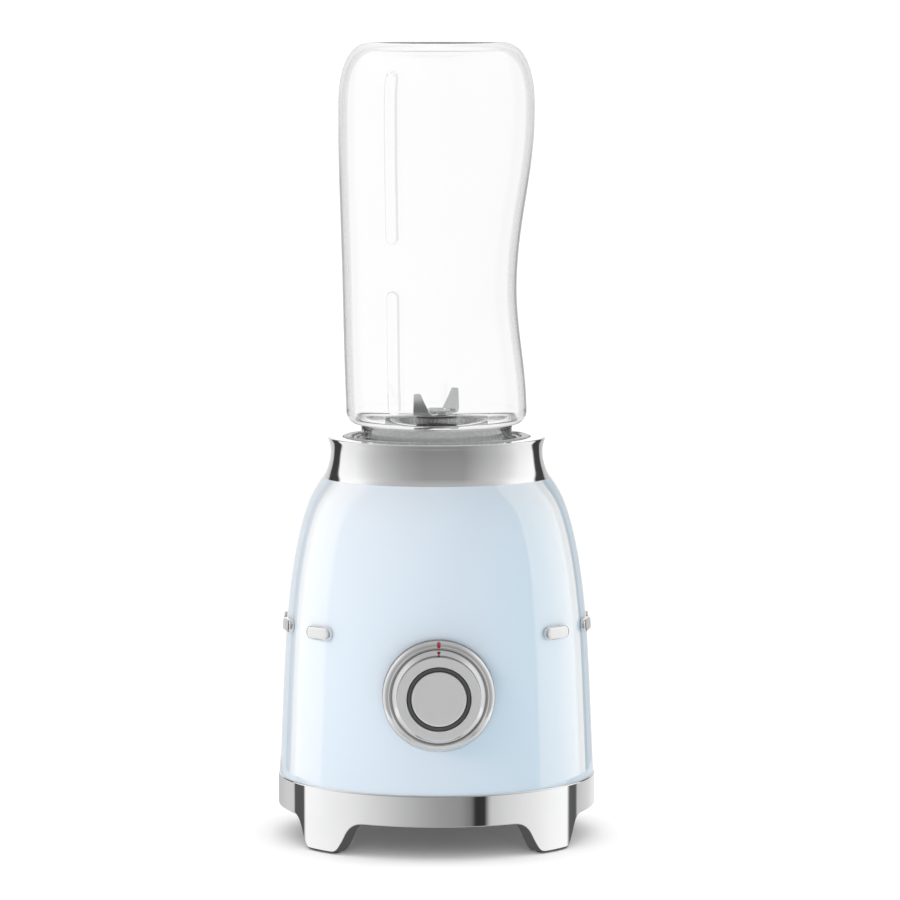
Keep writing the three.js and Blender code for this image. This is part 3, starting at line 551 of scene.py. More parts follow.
def add_base_ring():
    """The bright ring: its underside rises to an arch between each two feet."""
    low, high = extent("base_ring")
    outer, inner = half_width("base_ring"), 56.3
    front = spline(FRONT_FLANK[::-1], 44)
    side = [(90 - angle, z) for angle, z in spline(SIDE_FLANK, 44)]
    under = [(ARCH_STEP * k, ARCH_TOP) for k in range(11)] + front
    under += [(44, low.z), (46.5, low.z), (49, low.z)] + side
    under += [(90 - ARCH_STEP * k, ARCH_TOP) for k in range(9, -1, -1)]
    quarter = [(angle, min(max(z, low.z), ARCH_TOP)) for angle, z in under]
    around = quarter + [(180 - angle, z) for angle, z in quarter[-2::-1]]
    around += [(-angle, z) for angle, z in around[-2:0:-1]]
    rows = []
    for angle, bottom in around:
        section = rounded([(inner, bottom, 0.4), (outer, bottom, 0.55), (outer, high.z, 0.5),
                           (inner, high.z, 0.3)], 6)
        turn = math.radians(angle)
        rows.append([(r * math.sin(turn), -r * math.cos(turn), z) for r, z in section])
    add_piece("chrome_base_ring", grid(rows, wrap_rows=True), CHROME, "base",
              "base_ring", sharp=50)


FOOT_ANGLES = (46.5, 133.5, 226.5, 313.5)


def add_foot_pads():
    """Rubber pads let into the feet, with rounded rims and a shallow hollow in the sole."""
    outline = rounded([(-5.4, -1.65, 0.9), (5.4, -1.65, 0.9), (5.9, 1.65, 0.9), (-5.9, 1.65, 0.9)], 5)
    middle = 59.6
    for i, foot in enumerate(FOOT_ANGLES):
        name = f"foot_pad_{i + 1}"
        low, high = extent(name)
        rows = []
        for inset, z in ((0.8, high.z), (0.0, high.z), (0.0, 0.25), (0.07, 0.08), (0.25, low.z),
                         (0.5, low.z), (0.6, 0.12), (0.85, 0.15)):
            ring = []
            for u, v in outline:
                angle = math.radians(foot) + u * (1 - inset) / middle
                radius = middle + v * (1 - inset)
                ring.append((radius * math.sin(angle), -radius * math.cos(angle), z))
            rows.append(ring)
        add_piece(f"rubber_{name}", capped(rows), RUBBER, "base", name)


def screw_shape(z_head, z_tip, head=3.1, shank=1.5):
    """A pan-head screw, head down, with a round recess."""
    recess, head_height = 0.9, 1.2
    outline = rounded([
        (0, z_head + recess), (0.9, z_head + recess), (1.2, z_head, 0.1), (head, z_head, 0.7),
        (head, z_head + head_height, 0.1), (shank, z_head + head_height), (shank, z_tip - 1), (0, z_tip),
    ], 4)
    return revolve(outline, 32)


def add_bottom():
    """The vented cover and its screws, seen from below."""
    low, high = extent("bottom_cover")
    rim = rounded([(0, low.z), (52.5, low.z), (53.2, low.z + 0.7), (54.2, low.z + 0.7), (54.9, low.z),
                   (56, low.z, 0.4), (56, high.z, 0.3), (0, high.z)], 4)
    plate = add_piece("vented_bottom_cover", revolve(rim, 128), DARK, "base", "bottom_cover")
    vent = shifted(block(18, 4, 12, 1.95), 26, 0, low.z)
    points, faces = together(*(turned_by(vent, 45 * i) for i in range(8)))
    mesh = bpy.data.meshes.new("vent_cutter")
    mesh.from_pydata([in_frame(p) for p in points], [], faces)
    cutter = place("vent_cutter", mesh)
    vents = plate.modifiers.new("vents", "BOOLEAN")
    vents.operation, vents.object, vents.solver = "DIFFERENCE", cutter, "EXACT"
    bake_modifiers(plate)
    bpy.data.objects.remove(cutter)
    screw_reach = 50
    for i in range(4):
        name = f"cover_screw_{i + 1}"
        head, tip = extent(name)
        shape = turned_by(shifted(screw_shape(head.z, tip.z), screw_reach), 45 + 90 * i)
        add_piece(f"steel_{name}", shape, STEEL, "base", name)


def bake_modifiers(piece):
    """Applies a piece's modifiers to its mesh."""
    graph = bpy.context.evaluated_depsgraph_get()
    mesh = bpy.data.meshes.new_from_object(piece.evaluated_get(graph))
    piece.modifiers.clear()
    piece.data = mesh


def add_body():
    """The painted shell: open below, rounded at its lower rim, with the deck under the collar."""
    low, high = extent("body_shell")
    wall, deck, drive_hole = 2.5, 2.8, 12.5
    inside = [p for p in moved_in(BODY_LINE, wall) if p[1] < high.z - 5]
    outline = [(BODY_LINE[0][0] - 0.6, low.z), (BODY_LINE[0][0] - 0.15, low.z + 0.18), *BODY_LINE[1:],
               (drive_hole, high.z), (drive_hole, high.z - deck), (42, high.z - deck), *reversed(inside)]
    outline = [(r, max(z, low.z)) for r, z in outline]
    add_piece("painted_body_shell", revolve(outline, 256), PAINT, "base", "body_shell")


BAR_ANGLES = (50, 77, 104)
BAR_HALF_HEIGHT, BAR_HALF_STRAIGHT, BAR_STEPS = 2.5, 4.5, 48
# How far each layer of a bar is drawn in, and how far it stands off the body.
BAR_LAYERS = [(0.0, 0.3), (0.0, 1.35), (0.07, 1.62), (0.25, 1.85), (0.52, 1.98), (1.2, 2.0), (2.2, 2.0)]


def add_side_bars():
    """Plain rounded bars that follow the body's side."""
    for side, sign in (("right", 1), ("left", -1)):
        for i, angle in enumerate(BAR_ANGLES):
            name = f"side_bar_{side}_{i + 1}"
            rows = []
            for inset, height in BAR_LAYERS:
                radius = BAR_HALF_HEIGHT - inset
                ring = []
                for k in range(BAR_STEPS):
                    a = TAU * k / BAR_STEPS
                    u = radius * math.cos(a) + BAR_HALF_STRAIGHT * (1 if math.cos(a) > 0 else -1)
                    z = BAR_Z + radius * math.sin(a)
                    reach = body_radius(z) + height
                    turn = math.radians(sign * angle) + u / body_radius(BAR_Z)
                    ring.append((reach * math.sin(turn), -reach * math.cos(turn), z))
                rows.append(ring)
            add_piece(f"chrome_{name}", capped(rows), CHROME, "base", name, sharp=50)


def add_collar():
    """The chrome collar: a hollow waist between the body and a thin lip."""
    low, high = extent("neck_collar")
    bore, lip = 37.4, 43.45
    waist = spline([(45.45, low.z - 0.35), (44.5, 145.5), (43.35, 148.3), (42.4, 153), (42.65, 156.6),
                    (43.3, 158.9)], 30)
    inside = rounded([waist[-1], (lip, high.z, 0.5), (bore, high.z, 0.2), (bore, low.z), waist[0]], 6,
                     looped=False)
    add_piece("chrome_neck_collar", revolve(waist + inside[1:-1], 256), COLLAR_CHROME, "base",
              "neck_collar", sharp=40)


KEY_ANGLES = (20, 110, 200, 290)
KEY_REACH = 34


def add_seat():
    """The grey seat: a rounded rim, four keyways down its wall, and a raised lip round the drive."""
    low, high = extent("seat_liner")
    rim = high.z - 0.45
    outer = half_width("seat_liner")
    wall, floor, drive_lip = 33.9, 147, 149.4
    slot_half, slot_depth, edge = 3.0, 1.9, 0.5
    angles = {float(a) for a in np.arange(0, 360, 2.0)}
    for key in KEY_ANGLES:
        for d in (-slot_half - edge, -slot_half, slot_half, slot_half + edge):
            angles.add((key + math.degrees(d / KEY_REACH)) % 360)
        angles -= {a for a in angles
                   if abs(a - key) * math.radians(KEY_REACH) < slot_half and a % 2 == 0 and a != key}
    rows = []
    for angle in sorted(angles):
        off = min(abs((angle - key + 180) % 360 - 180) for key in KEY_ANGLES) * math.radians(1) * KEY_REACH
        inner = wall + slot_depth * ease((slot_half + edge - off) / edge)
        section = rounded([
            (10.6, low.z), (outer, low.z), (outer, rim, 0.5), (inner, rim, 0.5), (inner, floor, 0.3),
            (12.6, floor, 0.3), (12.6, drive_lip, 0.7), (10.6, drive_lip, 0.7),
        ], 6)
        turn = math.radians(angle)
        rows.append([(r * math.cos(turn), r * math.sin(turn), z) for r, z in section])
    add_piece("grey_seat_liner", grid(rows, wrap_rows=True), GREY, "base",
              "seat_liner", sharp=40)


def add_gland():
    """The cord gland in the back: a round flange with a rounded mouth."""
    low, high = extent("cord_gland")
    hole, stem, flange, flange_back, mouth = 3.4, 4.6, 8.6, low.y + 7.7, high.y - 0.6
    outline = rounded([
        (hole, 55), (stem, 55), (stem, flange_back), (flange, flange_back, 0.2),
        (flange, high.y - 1.1, 0.5), (7.0, high.y, 0.6), (5.0, high.y, 0.3), (4.4, mouth, 0.3),
        (hole, mouth, 0.4),
    ], 5)
    add_piece("dark_cord_gland", to_back(revolve(outline, 96), GLAND_Z), DARK, "base",
              "cord_gland")


# ---- dial ------------------------------------------------------------------------------------

# Faces of the bezel beyond BEZEL_SIDE are its side, plated dark as painted shade. Faces of the dial beyond
# DIAL_RIM are plain plating, and plated dark as painted shade where they are also nearer the front than
# DIAL_STEP.
BEZEL_SIDE, DIAL_RIM, DIAL_STEP = 21.6, 16.22, 66


def dial_reach(face):
    """How far a face is from the dial's level axis."""
    return math.hypot(face.center.x, face.center.z - DIAL_Z * MM)


def add_dial():
    """Bezel, dial, dark ring and button, each turned about the dial's level axis."""
    bezel = rounded([
        (18.2, 50.6), (19.2, 50.6), (19.2, 55.2), (21.8, 55.2, 0.5), (21.8, 62.1, 0.9), (20.7, 63.3, 2.2),
        (19.45, 63.85, 0.5), (19.2, 64.1, 0.2), (18.6, 64.15, 0.15), (18.2, 63.95, 0.05), (18.2, 63),
    ], 8)
    ring = add_piece("chrome_bezel", to_front(revolve(bezel, 192)), SATIN_CHROME, "base",
                     "bezel_ring", sharp=50)
    # The bezel's outer side gets the dark plating, painted shade for a dark outline round it.
    ring.data.materials.append(SHADE_PAINTED_CHROME)
    for face in ring.data.polygons:
        if dial_reach(face) > BEZEL_SIDE * MM:
            face.material_index = 1

    dial = rounded([
        (3.5, 51.5), (6, 51.5), (6, 57.5, 0.4), (18.15, 57.5, 0.4), (18.15, 63.95, 0.12),
        (17.75, 64.2, 0.3), (16.35, 65.6, 0.5), (16.25, 70.75, 0.3), (12.5, 70.8, 0.25), (12.5, 60),
        (3.5, 60),
    ], 8)
    speed_dial = add_piece("spun_speed_dial", to_front(revolve(dial, 192)), SPUN, "dial",
                           "speed_dial", sharp=40)
    plain, painted_shade_wall = 1, 2
    for material in (SATIN_CHROME, SHADE_PAINTED_CHROME):
        speed_dial.data.materials.append(material)
    for face in speed_dial.data.polygons:
        if dial_reach(face) > DIAL_RIM * MM:
            face.material_index = painted_shade_wall if face.center.y < AXIS_Y - DIAL_STEP * MM else plain
    dark = rounded([(10.9, 60.3), (12.2, 60.3), (12.2, 70.5, 0.2), (10.9, 70.5, 0.2)], 4)
    add_piece("dark_dial_ring", to_front(revolve(dark, 128)), RING_BLACK, "dial",
              "light_ring")
    front = -extent("push_button")[0].y
    button = rounded([
        (8.4, 65), (10.6, 65, 0.2), (10.6, front - 0.35, 0.45), (9.9, front - 0.1, 0.5), (0, front),
        (0, 69), (8.4, 69, 0.4),
    ], 6)
    add_piece("spun_push_button", to_front(revolve(button, 128)), SPUN, "button",
              "push_button")


def pill(length, width, back, front, z_middle):
    """An upright domed pill on the front, its length along Z."""
    rows = []
    for k in range(7):
        a = math.pi / 2 * k / 6
        rows.append((width / 2 * (1 - math.cos(a)) * 0.85, back + (front - back) * math.sin(a)))
    rings = []
    for inset, reach in [(0, back)] + rows[1:]:
        radius, straight = width / 2 - inset, (length - width) / 2
        ring = []
        for i in range(32):
            a = TAU * i / 32
            ring.append((radius * math.cos(a), -reach,
                         z_middle + radius * math.sin(a) + math.copysign(straight, math.sin(a))))
        rings.append(ring)
    return capped(rings)


def add_marks():
    """The red index on the bezel and the small red line on the dial."""
    low, high = extent("index_mark")
    width = 2.0
    index = pill(high.z - low.z + 0.3, width, 61.6, 64.6, (low.z + high.z) / 2 - 0.25)
    add_piece("red_index_mark", index, RED, "base", "index_mark")
    points, faces = pill(width, width, 62, 65.45, 0)
    flatten, reach = 0.42, 17.4
    mark = [(x, y, z * flatten + reach + DIAL_Z) for x, y, z in points], faces
    add_piece("red_dial_mark", mark, RED, "dial", "dial_mark")


# ---- blade unit ------------------------------------------------------------------------------

THREAD_PITCH = 5.0
THREAD_START = 153.8
THREAD_TURNS, THREAD_DEPTH = 0.9, 1.35


def ridge_height(angle, z, start, turns):
    """0 to 1: how high a helical ridge stands at an angle (radians, 0 to a turn) and height."""
    best = 0.0
    for lap in range(-1, 3):
        along = angle / TAU + lap
        if not -0.05 < along < turns + 0.05:
            continue
        off = abs(z - (start + THREAD_PITCH * along))
        ends = ease((along + 0.03) / 0.05) * ease((turns + 0.03 - along) / 0.05)
        best = max(best, ease((1.15 - off) / 0.6) * ends)
    return best


def rise_lines(low, high, step):
    """Heights from low to high, about a step apart."""
    count = round((high - low) / step)
    return [low + (high - low) * i / max(count, 1) for i in range(count + 1)]


def add_blade_holder():
    """The grey cup that the bottle screws into: keys outside, thread inside, a dome in the neck."""
    bore, outer, bottom, top, floor = 31.9, 33.4, 147.7, 159.6, 152
    before = rounded([(bore, 149.8), (bore, bottom, 0.3), (outer, bottom, 0.4), (outer, top, 0.6),
                      (bore, top, 0.5), (bore, top - 0.8)], 4, looped=False)
    wall = [(bore, z) for z in reversed(rise_lines(floor + 0.6, top - 1, 0.3))]
    dome = rounded([(bore, floor, 0.4), (26.8, floor, 0.5), (26.2, 161.4, 1.2), (23.6, 163.4, 3),
                    (11, 165.5, 2), (6.8, 165.5, 0.3), (6.8, 161.9), (12.5, 161.9), (22.4, 160.4, 2),
                    (24.3, 149.8)], 6)
    section = before + wall + dome
    rows = []
    for i in range(180):
        turn = TAU * i / 180
        row = []
        for r, z in section:
            if abs(r - bore) < 1e-6 and floor + 0.5 < z < top - 0.9:
                r -= THREAD_DEPTH * ridge_height(turn, z, THREAD_START, THREAD_TURNS)
            row.append((r * math.cos(turn), r * math.sin(turn), z))
        rows.append(row)
    keys = [turned_by(shifted(block(3, 5, 6, 0.5), 33.75, 0, 153.5), angle) for angle in KEY_ANGLES]
    shape = together(grid(rows, wrap_rows=True), *keys)
    add_piece("grey_blade_holder", shape, GREY, "blade_unit", "blade_holder", sharp=40)

    bush = rounded([(3.3, 161.9, 0.2), (6.5, 161.9, 0.2), (6.5, 165.2, 0.3), (3.3, 165.2, 0.3)], 4)
    add_piece("bronze_shaft_bush", revolve(bush, 64), BRASS, "blade_unit", "shaft_bush")
    low, high = extent("shaft_seal")
    seal = rounded([(3.3, low.z), (8, low.z), (8, high.z, 0.3), (3.3, high.z, 0.2)], 4)
    add_piece("rubber_shaft_seal", revolve(seal, 64), RUBBER, "blade_unit", "shaft_seal")
    low, high = extent("neck_seal")
    ring = rounded([(27.4, low.z, 0.4), (30.0, low.z, 0.4), (30.0, high.z, 0.4), (27.4, high.z, 0.4)], 5)
    add_piece("silicone_neck_seal", revolve(ring, 128), SILICONE, "seal", "neck_seal")


def strip_blade(line, half_widths, thickness, grind):
    """A strip bent along a line of (s, z), with half widths along it and both long edges ground."""
    line, half_widths = np.array(line, float), np.array(half_widths, float)
    direction = np.gradient(line, axis=0)
    direction /= np.linalg.norm(direction, axis=1)[:, None]
    normal = np.stack([-direction[:, 1], direction[:, 0]], axis=1)
    rows = []
    for (s, z), (ns, nz), (front, back) in zip(line, normal, half_widths):
        def point(across, up):
            return (s + ns * up, across, z + nz * up)
        t = thickness
        rows.append([
            point(-front, -t * 0.95), point(-front + 0.05, -t), point(back - 0.05, -t),
            point(back, -t * 0.95), point(back, -t * 0.62), point(back - grind, 0),
            point(-front + grind, 0), point(-front, -t * 0.62),
        ])
    return capped(rows)


def bent_line(points, radius, count):
    """A bent line with rounded bends, resampled evenly."""
    line = np.array(rounded([points[0], *[(*p, radius) for p in points[1:-1]], points[-1]], 8, looped=False))
    along = np.concatenate([[0], np.cumsum(np.hypot(*np.diff(line, axis=0).T))])
    at = np.linspace(0, along[-1], count)
    return np.stack([np.interp(at, along, line[:, k]) for k in (0, 1)], axis=1)


UPPER_BLADE_TURN = 69.5


def add_blades():
    """A drooping pair under an upright pair, on one shaft with a hexagon nut."""
    line = bent_line([(-20.5, 166.3), (-8, 168.1), (8, 168.1), (20.5, 166.3)], 4, 61)
    widths = []
    for s, _ in line:
        tip = max((abs(s) - 7) / 13.5, 0) ** 1.2
        lead, trail = 5 - 3.9 * tip, 5 - 1.5 * tip
        widths.append((lead, trail) if s > 0 else (trail, lead))
    lower = strip_blade(line, widths, 1.2, 1.6)
    add_piece("ground_lower_blade", lower, STEEL, "blades", "lower_blade", sharp=25)

    line = bent_line([(-17.7, 178.1), (-15.2, 169.6), (15.2, 169.6), (17.7, 178.1)], 1.8, 91)
    widths = []
    for s, z in line:
        rise = min(max((z - 169.8) / 8.1, 0), 1)
        lead, trail = 3.85 - 1.1 * rise, 3.85 - 3.7 * rise ** 0.75
        widths.append((lead, trail) if s > 0 else (trail, lead))
    upper = strip_blade(line, widths, 1.15, 1.0)
    add_piece("ground_upper_blade", turned_by(upper, UPPER_BLADE_TURN), STEEL, "blades",
              "upper_blade", sharp=25)

    low, high = extent("blade_nut")
    corner = 5.35
    hexagon = [(corner * math.cos(k * TAU / 6), corner * math.sin(k * TAU / 6), 0.25) for k in range(6)]
    rows = []
    for scale, z in ((0.62, low.z), (0.97, low.z), (1, low.z + 0.25), (1, high.z - 0.35),
                     (0.93, high.z), (0.62, high.z)):
        rows.append([(x * scale, y * scale, z) for x, y in rounded(hexagon, 3)])
    add_piece("steel_blade_nut", grid(rows, wrap_rows=True), STEEL, "blades", "blade_nut", sharp=25)
    low, high = extent("blade_shaft")
    shaft = rounded([(0, low.z), (3, low.z, 0.3), (3, high.z, 0.6), (0, high.z)], 5)
    add_piece("steel_blade_shaft", revolve(shaft, 48), STEEL, "blades", "blade_shaft")


# ---- bottle ----------------------------------------------------------------------------------

GRIP_CENTRE, GRIP_DOWN, GRIP_UP, GRIP_DEPTH = 222, 57, 68, 5.5
BOTTLE_KNOTS = [(36.0, 170.2), (36.75, 192), (37.45, 222), (38.35, 252), (38.95, 275), (39.0, 291)]
RIBS = ((171, 219.3), (237.5, 304.4))
RIB_ANGLE, RIB_WIDTH, RIB_HEIGHT = math.radians(-28 - 90), 5.4, 0.7
BOTTLE_WALL, END_WALL = 2.5, 1.9
# Heights: top of the thread, top of the neck, and where the straight side starts and ends.
THREAD_TOP, NECK_TOP, SIDE_LOW, SIDE_HIGH = 163.3, 165, 170.3, 290.5
CROWN_BASE, SIDE_RADIUS, FLAT_RADIUS = 291, 39.0, 25.0


def grip_depth(z):
    """How far the grip on the right goes in."""
    reach = GRIP_DOWN if z < GRIP_CENTRE else GRIP_UP
    along = min(abs(z - GRIP_CENTRE) / reach, 1)
    return GRIP_DEPTH * math.cos(along * math.pi / 2) ** 2


def bottle_point(radius, z, angle, lift=0.0):
    """A point on the bottle, angle 0 to the right; lift is added outwards."""
    scale = 1 - grip_depth(z) / radius if radius > 20 and math.cos(angle) > 0 else 1
    x, y = radius * scale * math.cos(angle), radius * math.sin(angle)
    length = math.hypot(x, y) or 1
    return (x * (1 + lift / length), y * (1 + lift / length), z)


def rib_lift(radius, z, angle):
    """Height of the two raised ribs at the front left."""
    across = abs((angle - RIB_ANGLE + math.pi) % TAU - math.pi) * radius
    best = 0.0
    for low, high in RIBS:
        beyond = max(low + RIB_WIDTH / 2 - z, z - high + RIB_WIDTH / 2, 0)
        best = max(best, ease((RIB_WIDTH / 2 + 0.15 - math.hypot(across, beyond)) / 0.75))
    return RIB_HEIGHT * best


def bottle_wall():
    """Outer and inner outlines, from the mouth up to the flat end."""
    mouth, top = extent("bottle")[0].z, extent("bottle")[1].z
    side = spline(BOTTLE_KNOTS, 90)
    shoulder = [(31 + 5.0 * math.sin(a), 164.9 + 5.3 - 5.3 * math.cos(a))
                for a in (math.pi / 2 * i / 14 for i in range(14))]
    crown = []
    for i in range(1, 29):
        a = math.pi / 2 * i / 28
        crown.append((FLAT_RADIUS + (SIDE_RADIUS - FLAT_RADIUS) * math.cos(a) ** 0.78,
                      CROWN_BASE + (top - CROWN_BASE) * math.sin(a) ** 0.92))
    neck = [(30.0, z) for z in rise_lines(mouth + 0.5, 163.2, 0.3)]
    flat_end = [(20, top), (10, top), (0, top)]
    outer = [(29.6, mouth), (29.88, mouth + 0.12), *neck, (30.15, 163.9), (30.5, 164.5), *shoulder,
             *side, *crown, *flat_end]
    over_crown = [side[-1], *crown, *flat_end]
    thickness = np.linspace(BOTTLE_WALL, END_WALL, len(over_crown))[:, None]
    inner_crown = moved_in(over_crown, thickness)[:0:-1]
    inner_side = [(r - BOTTLE_WALL, z) for r, z in reversed(side)]
    inner_neck = [(33.0, 168.4), (31.8, 166.5), (30.0, 165.0), (28.5, 163.9), (27.7, 162.6),
                  (27.7, mouth + 0.5), (28.0, mouth)]
    return inner_crown + inner_side + inner_neck, outer


def add_bottle():
    """The clear bottle, mouth down: wall, grip, raised ribs and thread as one closed surface."""
    inner, outer = bottle_wall()
    fine = [RIB_ANGLE + d / 37 for d in np.arange(-3.4, 3.41, 0.2)]
    angles = sorted({round(a % TAU, 5) for a in fine} | {
        round(TAU * i / 144, 5) for i in range(144)
        if abs((TAU * i / 144 - RIB_ANGLE + math.pi) % TAU - math.pi) > 0.094
    })
    ends = [z for low, high in RIBS
            for z in (*rise_lines(low - 0.4, low + 3, 0.25), *rise_lines(high - 3, high + 0.4, 0.25))]
    heights, radii = [p[1] for p in outer], [p[0] for p in outer]
    extra = [(float(np.interp(z, heights, radii)), z) for z in ends if 170.5 < z < 290]
    middle = sorted([p for p in outer if SIDE_LOW < p[1] < SIDE_HIGH] + extra, key=lambda p: p[1])
    low_part = [p for p in outer if p[1] <= SIDE_LOW]
    high_part = [p for p in outer if p[1] >= SIDE_HIGH]
    rows = [[bottle_point(r, z, a) for a in angles] for r, z in inner]
    for r, z in low_part + middle + high_part:
        row = []
        for a in angles:
            if z < THREAD_TOP:
                lift = THREAD_DEPTH * ridge_height(a, z, THREAD_START + THREAD_PITCH / 2, THREAD_TURNS)
            else:
                lift = rib_lift(r, z, a) if r > 30 else 0
            row.append(bottle_point(r, z, a, lift))
        rows.append(row)
    bottle = add_piece("clear_bottle", grid(rows), CLEAR, "bottle", "bottle", sharp=60)
    inside, neck_part, rib_shade_part = 1, 2, 3
    for material in (CLEAR_INSIDE, CLEAR_NECK, CLEAR_RIB_PAINTED_SHADE):
        bottle.data.materials.append(material)
    for face in bottle.data.polygons:
        out = face.normal.x * face.center.x + face.normal.y * (face.center.y - AXIS_Y)
        reach = math.hypot(face.center.x, face.center.y - AXIS_Y)
        height = face.center.z / MM
        lift = rib_lift(reach / MM, height, math.atan2(face.center.y - AXIS_Y, face.center.x) % TAU)
        if height < NECK_TOP:
            face.material_index = neck_part
        elif out < -0.1 * reach or face.normal.z < -0.3:
            face.material_index = inside
        # Painted shade on the ribs' flanks: the darker clear.
        elif lift > 0:
            face.material_index = rib_shade_part if lift < RIB_HEIGHT - 0.05 else inside
    bottle.visible_shadow = False


# ---- stage -----------------------------------------------------------------------------------

# Brightness round the studio, by degrees to the right of the front. The lamps' dark edges and the
# dim front are what the bright metal shows; the white behind is what the bottle shows.
LEVEL_BAND = [
    (-180, 0.90), (-160, 0.74), (-149, 0.60), (-147, 0.05), (-130, 0.05), (-127, 1.04), (-118, 1.03),
    (-100, 0.94), (-85, 0.73), (-71, 0.58), (-53, 0.46), (-38, 0.37), (-15, 0.295), (30, 0.295),
    (53, 0.46), (71, 0.58), (85, 0.73), (100, 0.94), (118, 1.03), (127, 1.04), (130, 0.05),
    (147, 0.05), (149, 0.52), (160, 0.62), (180, 0.90),
]
WINDOW_BAND = [
    (-180, 1.10), (-170.2, 1.10), (-169.4, 0.92), *LEVEL_BAND[1:-1],
    (169.4, 0.92), (170.2, 1.10), (180, 1.10),
]
RING_BAND = [
    (-178, 0.52), (-150, 0.62), (-140, 0.68), (-128, 0.68), (-126.5, 0.10), (-113.5, 0.10),
    (-111.5, 1.08), (-94, 1.01), (-66, 0.88), (-46, 0.73), (-28, 0.57), (-11, 0.43), (0, 0.36),
    (16, 0.30), (24, 0.20), (27, 0.03), (34, 0.04), (38, 0.62), (52, 0.76), (73, 0.88), (90, 1.02),
    (103, 1.08), (109, 1.08), (111, 0.12), (121, 0.10), (123, 0.60), (140, 0.71), (155, 0.86),
    (178, 0.9),
]
CLEAR_BAND = [
    (-180, 1.04), (-172, 1.01), (-171, 0.95), (-150, 0.95), (-90, 0.94), (0, 0.90), (90, 0.94),
    (150, 0.95), (172, 0.94), (173, 0.99), (180, 1.04),
]
OVERHEAD, UNDERFOOT, BACKDROP = 0.5, 0.68, 1.05


def make_world():
    """A bright room, dim in front, with dark-edged lamps to the sides."""
    world = bpy.data.worlds.new("studio")
    world.use_nodes = True
    made = Graph(world.node_tree)
    background = made.tree.nodes["Background"]
    split = made.node("ShaderNodeSeparateXYZ")
    made.link(made.node("ShaderNodeTexCoord").outputs["Generated"], split.inputs["Vector"])
    x, y, height = split.outputs["X"], split.outputs["Y"], split.outputs["Z"]
    climb = made.rise(height, -0.57, 0.57, 0.9, 1.12)
    window = made.maths("MULTIPLY", made.rise(height, -0.285, -0.270),
                        made.rise(height, 0.105, 0.120, 1.0, 0.0))
    walls = made.mixed(window, made.band(x, y, LEVEL_BAND), made.band(x, y, WINDOW_BAND))
    walls = made.maths("MULTIPLY", walls, climb)
    room = made.mixed(made.rise(height, 0.62, 0.9), walls, OVERHEAD)
    room = made.mixed(made.rise(height, -0.6, -0.8), room, UNDERFOOT)
    path = made.node("ShaderNodeLightPath")
    room = made.mixed(path.outputs["Is Transmission Ray"], room, made.band(x, y, CLEAR_BAND))
    room = made.mixed(path.outputs["Is Camera Ray"], room, BACKDROP)
    made.link(room, background.inputs["Strength"])
    background.inputs["Color"].default_value = (1, 1, 1, 1)
    bpy.context.scene.world = world


CAMERA_DISTANCE, CAMERA_HEIGHT, CAMERA_SIDE = 1746, 313.4, -22.9
CAMERA_PITCH, CAMERA_YAW, CAMERA_LENS = 5.207, 0.927, 176


def add_camera():
    """A long lens a little above the bottle's end, looking slightly down."""
    data = bpy.data.cameras.new("camera")
    data.lens, data.sensor_width = CAMERA_LENS, 36
    data.clip_start, data.clip_end = 0.05, 200
    camera = place("camera", data)
    camera.location = (CAMERA_SIDE * MM, -CAMERA_DISTANCE * MM + AXIS_Y, CAMERA_HEIGHT * MM)
    camera.rotation_euler = (math.radians(90 - CAMERA_PITCH), 0, math.radians(-CAMERA_YAW))
    bpy.context.scene.camera = camera


def lit_only(lamp, objects):
    """Limits a lamp to some objects."""
    group = bpy.data.collections.new(f"{lamp.name}_lights")
    for item in objects:
        group.objects.link(item)
    lamp.light_linking.receiver_collection = group


def add_panel(name, azimuth, distance, low, high, width, radiance, colour=(1, 1, 1), lights="both"):
    """An upright lamp panel facing the motor axis; distances in metres, azimuth from the front."""
    data = bpy.data.lights.new(name, "AREA")
    data.shape, data.size, data.size_y = "RECTANGLE", width, high - low
    data.energy = radiance * math.pi * width * (high - low)
    data.color = colour
    panel = place(name, data)
    turn = math.radians(azimuth)
    panel.location = (distance * math.sin(turn), -distance * math.cos(turn), (low + high) / 2)
    panel.rotation_euler = (math.radians(90), 0, turn)
    panel.visible_camera = False
    panel.visible_transmission = False
    panel.visible_glossy = lights != "diffuse"
    panel.visible_diffuse = lights != "glossy"
    return panel


def add_lamps(paint, floor):
    """Two lamp panels that streak the lacquer, a warm key from the left and an even light on the table."""
    lit_only(add_panel("left_streak", -114.5, 3, -1.2, 8, 2.36, 1.4, (1, 0.74, 0.5), "glossy"), [paint])
    lit_only(add_panel("right_streak", 110, 3, -1.2, 8, 3.46, 1.75, (1, 0.75, 0.5), "glossy"), [paint])
    lit_only(add_panel("warm_key", -48, 0.85, 0.38, 0.70, 0.3, 11.5, (1, 0.68, 0.53), "diffuse"), [paint])
    add_panel("fill", 0, 2.5, 0.2, 1.2, 1.0, 0.9, lights="diffuse")
    overhead = bpy.data.lights.new("table_light", "SUN")
    overhead.energy, overhead.angle = 1.95, math.radians(120)
    glow = bpy.data.lights.new("table_glow", "SUN")
    glow.energy, glow.use_shadow = 0.25, False
    for data, x in ((overhead, 0), (glow, 0.5)):
        lamp = place(data.name, data)
        lamp.location = (x, 0, 3)
        lamp.visible_glossy = False
        lit_only(lamp, [floor])
    lit_only(add_panel("under_the_arches", 0, 3, 0.15, 2.2, 2.0, 3.4, lights="diffuse"), [floor])


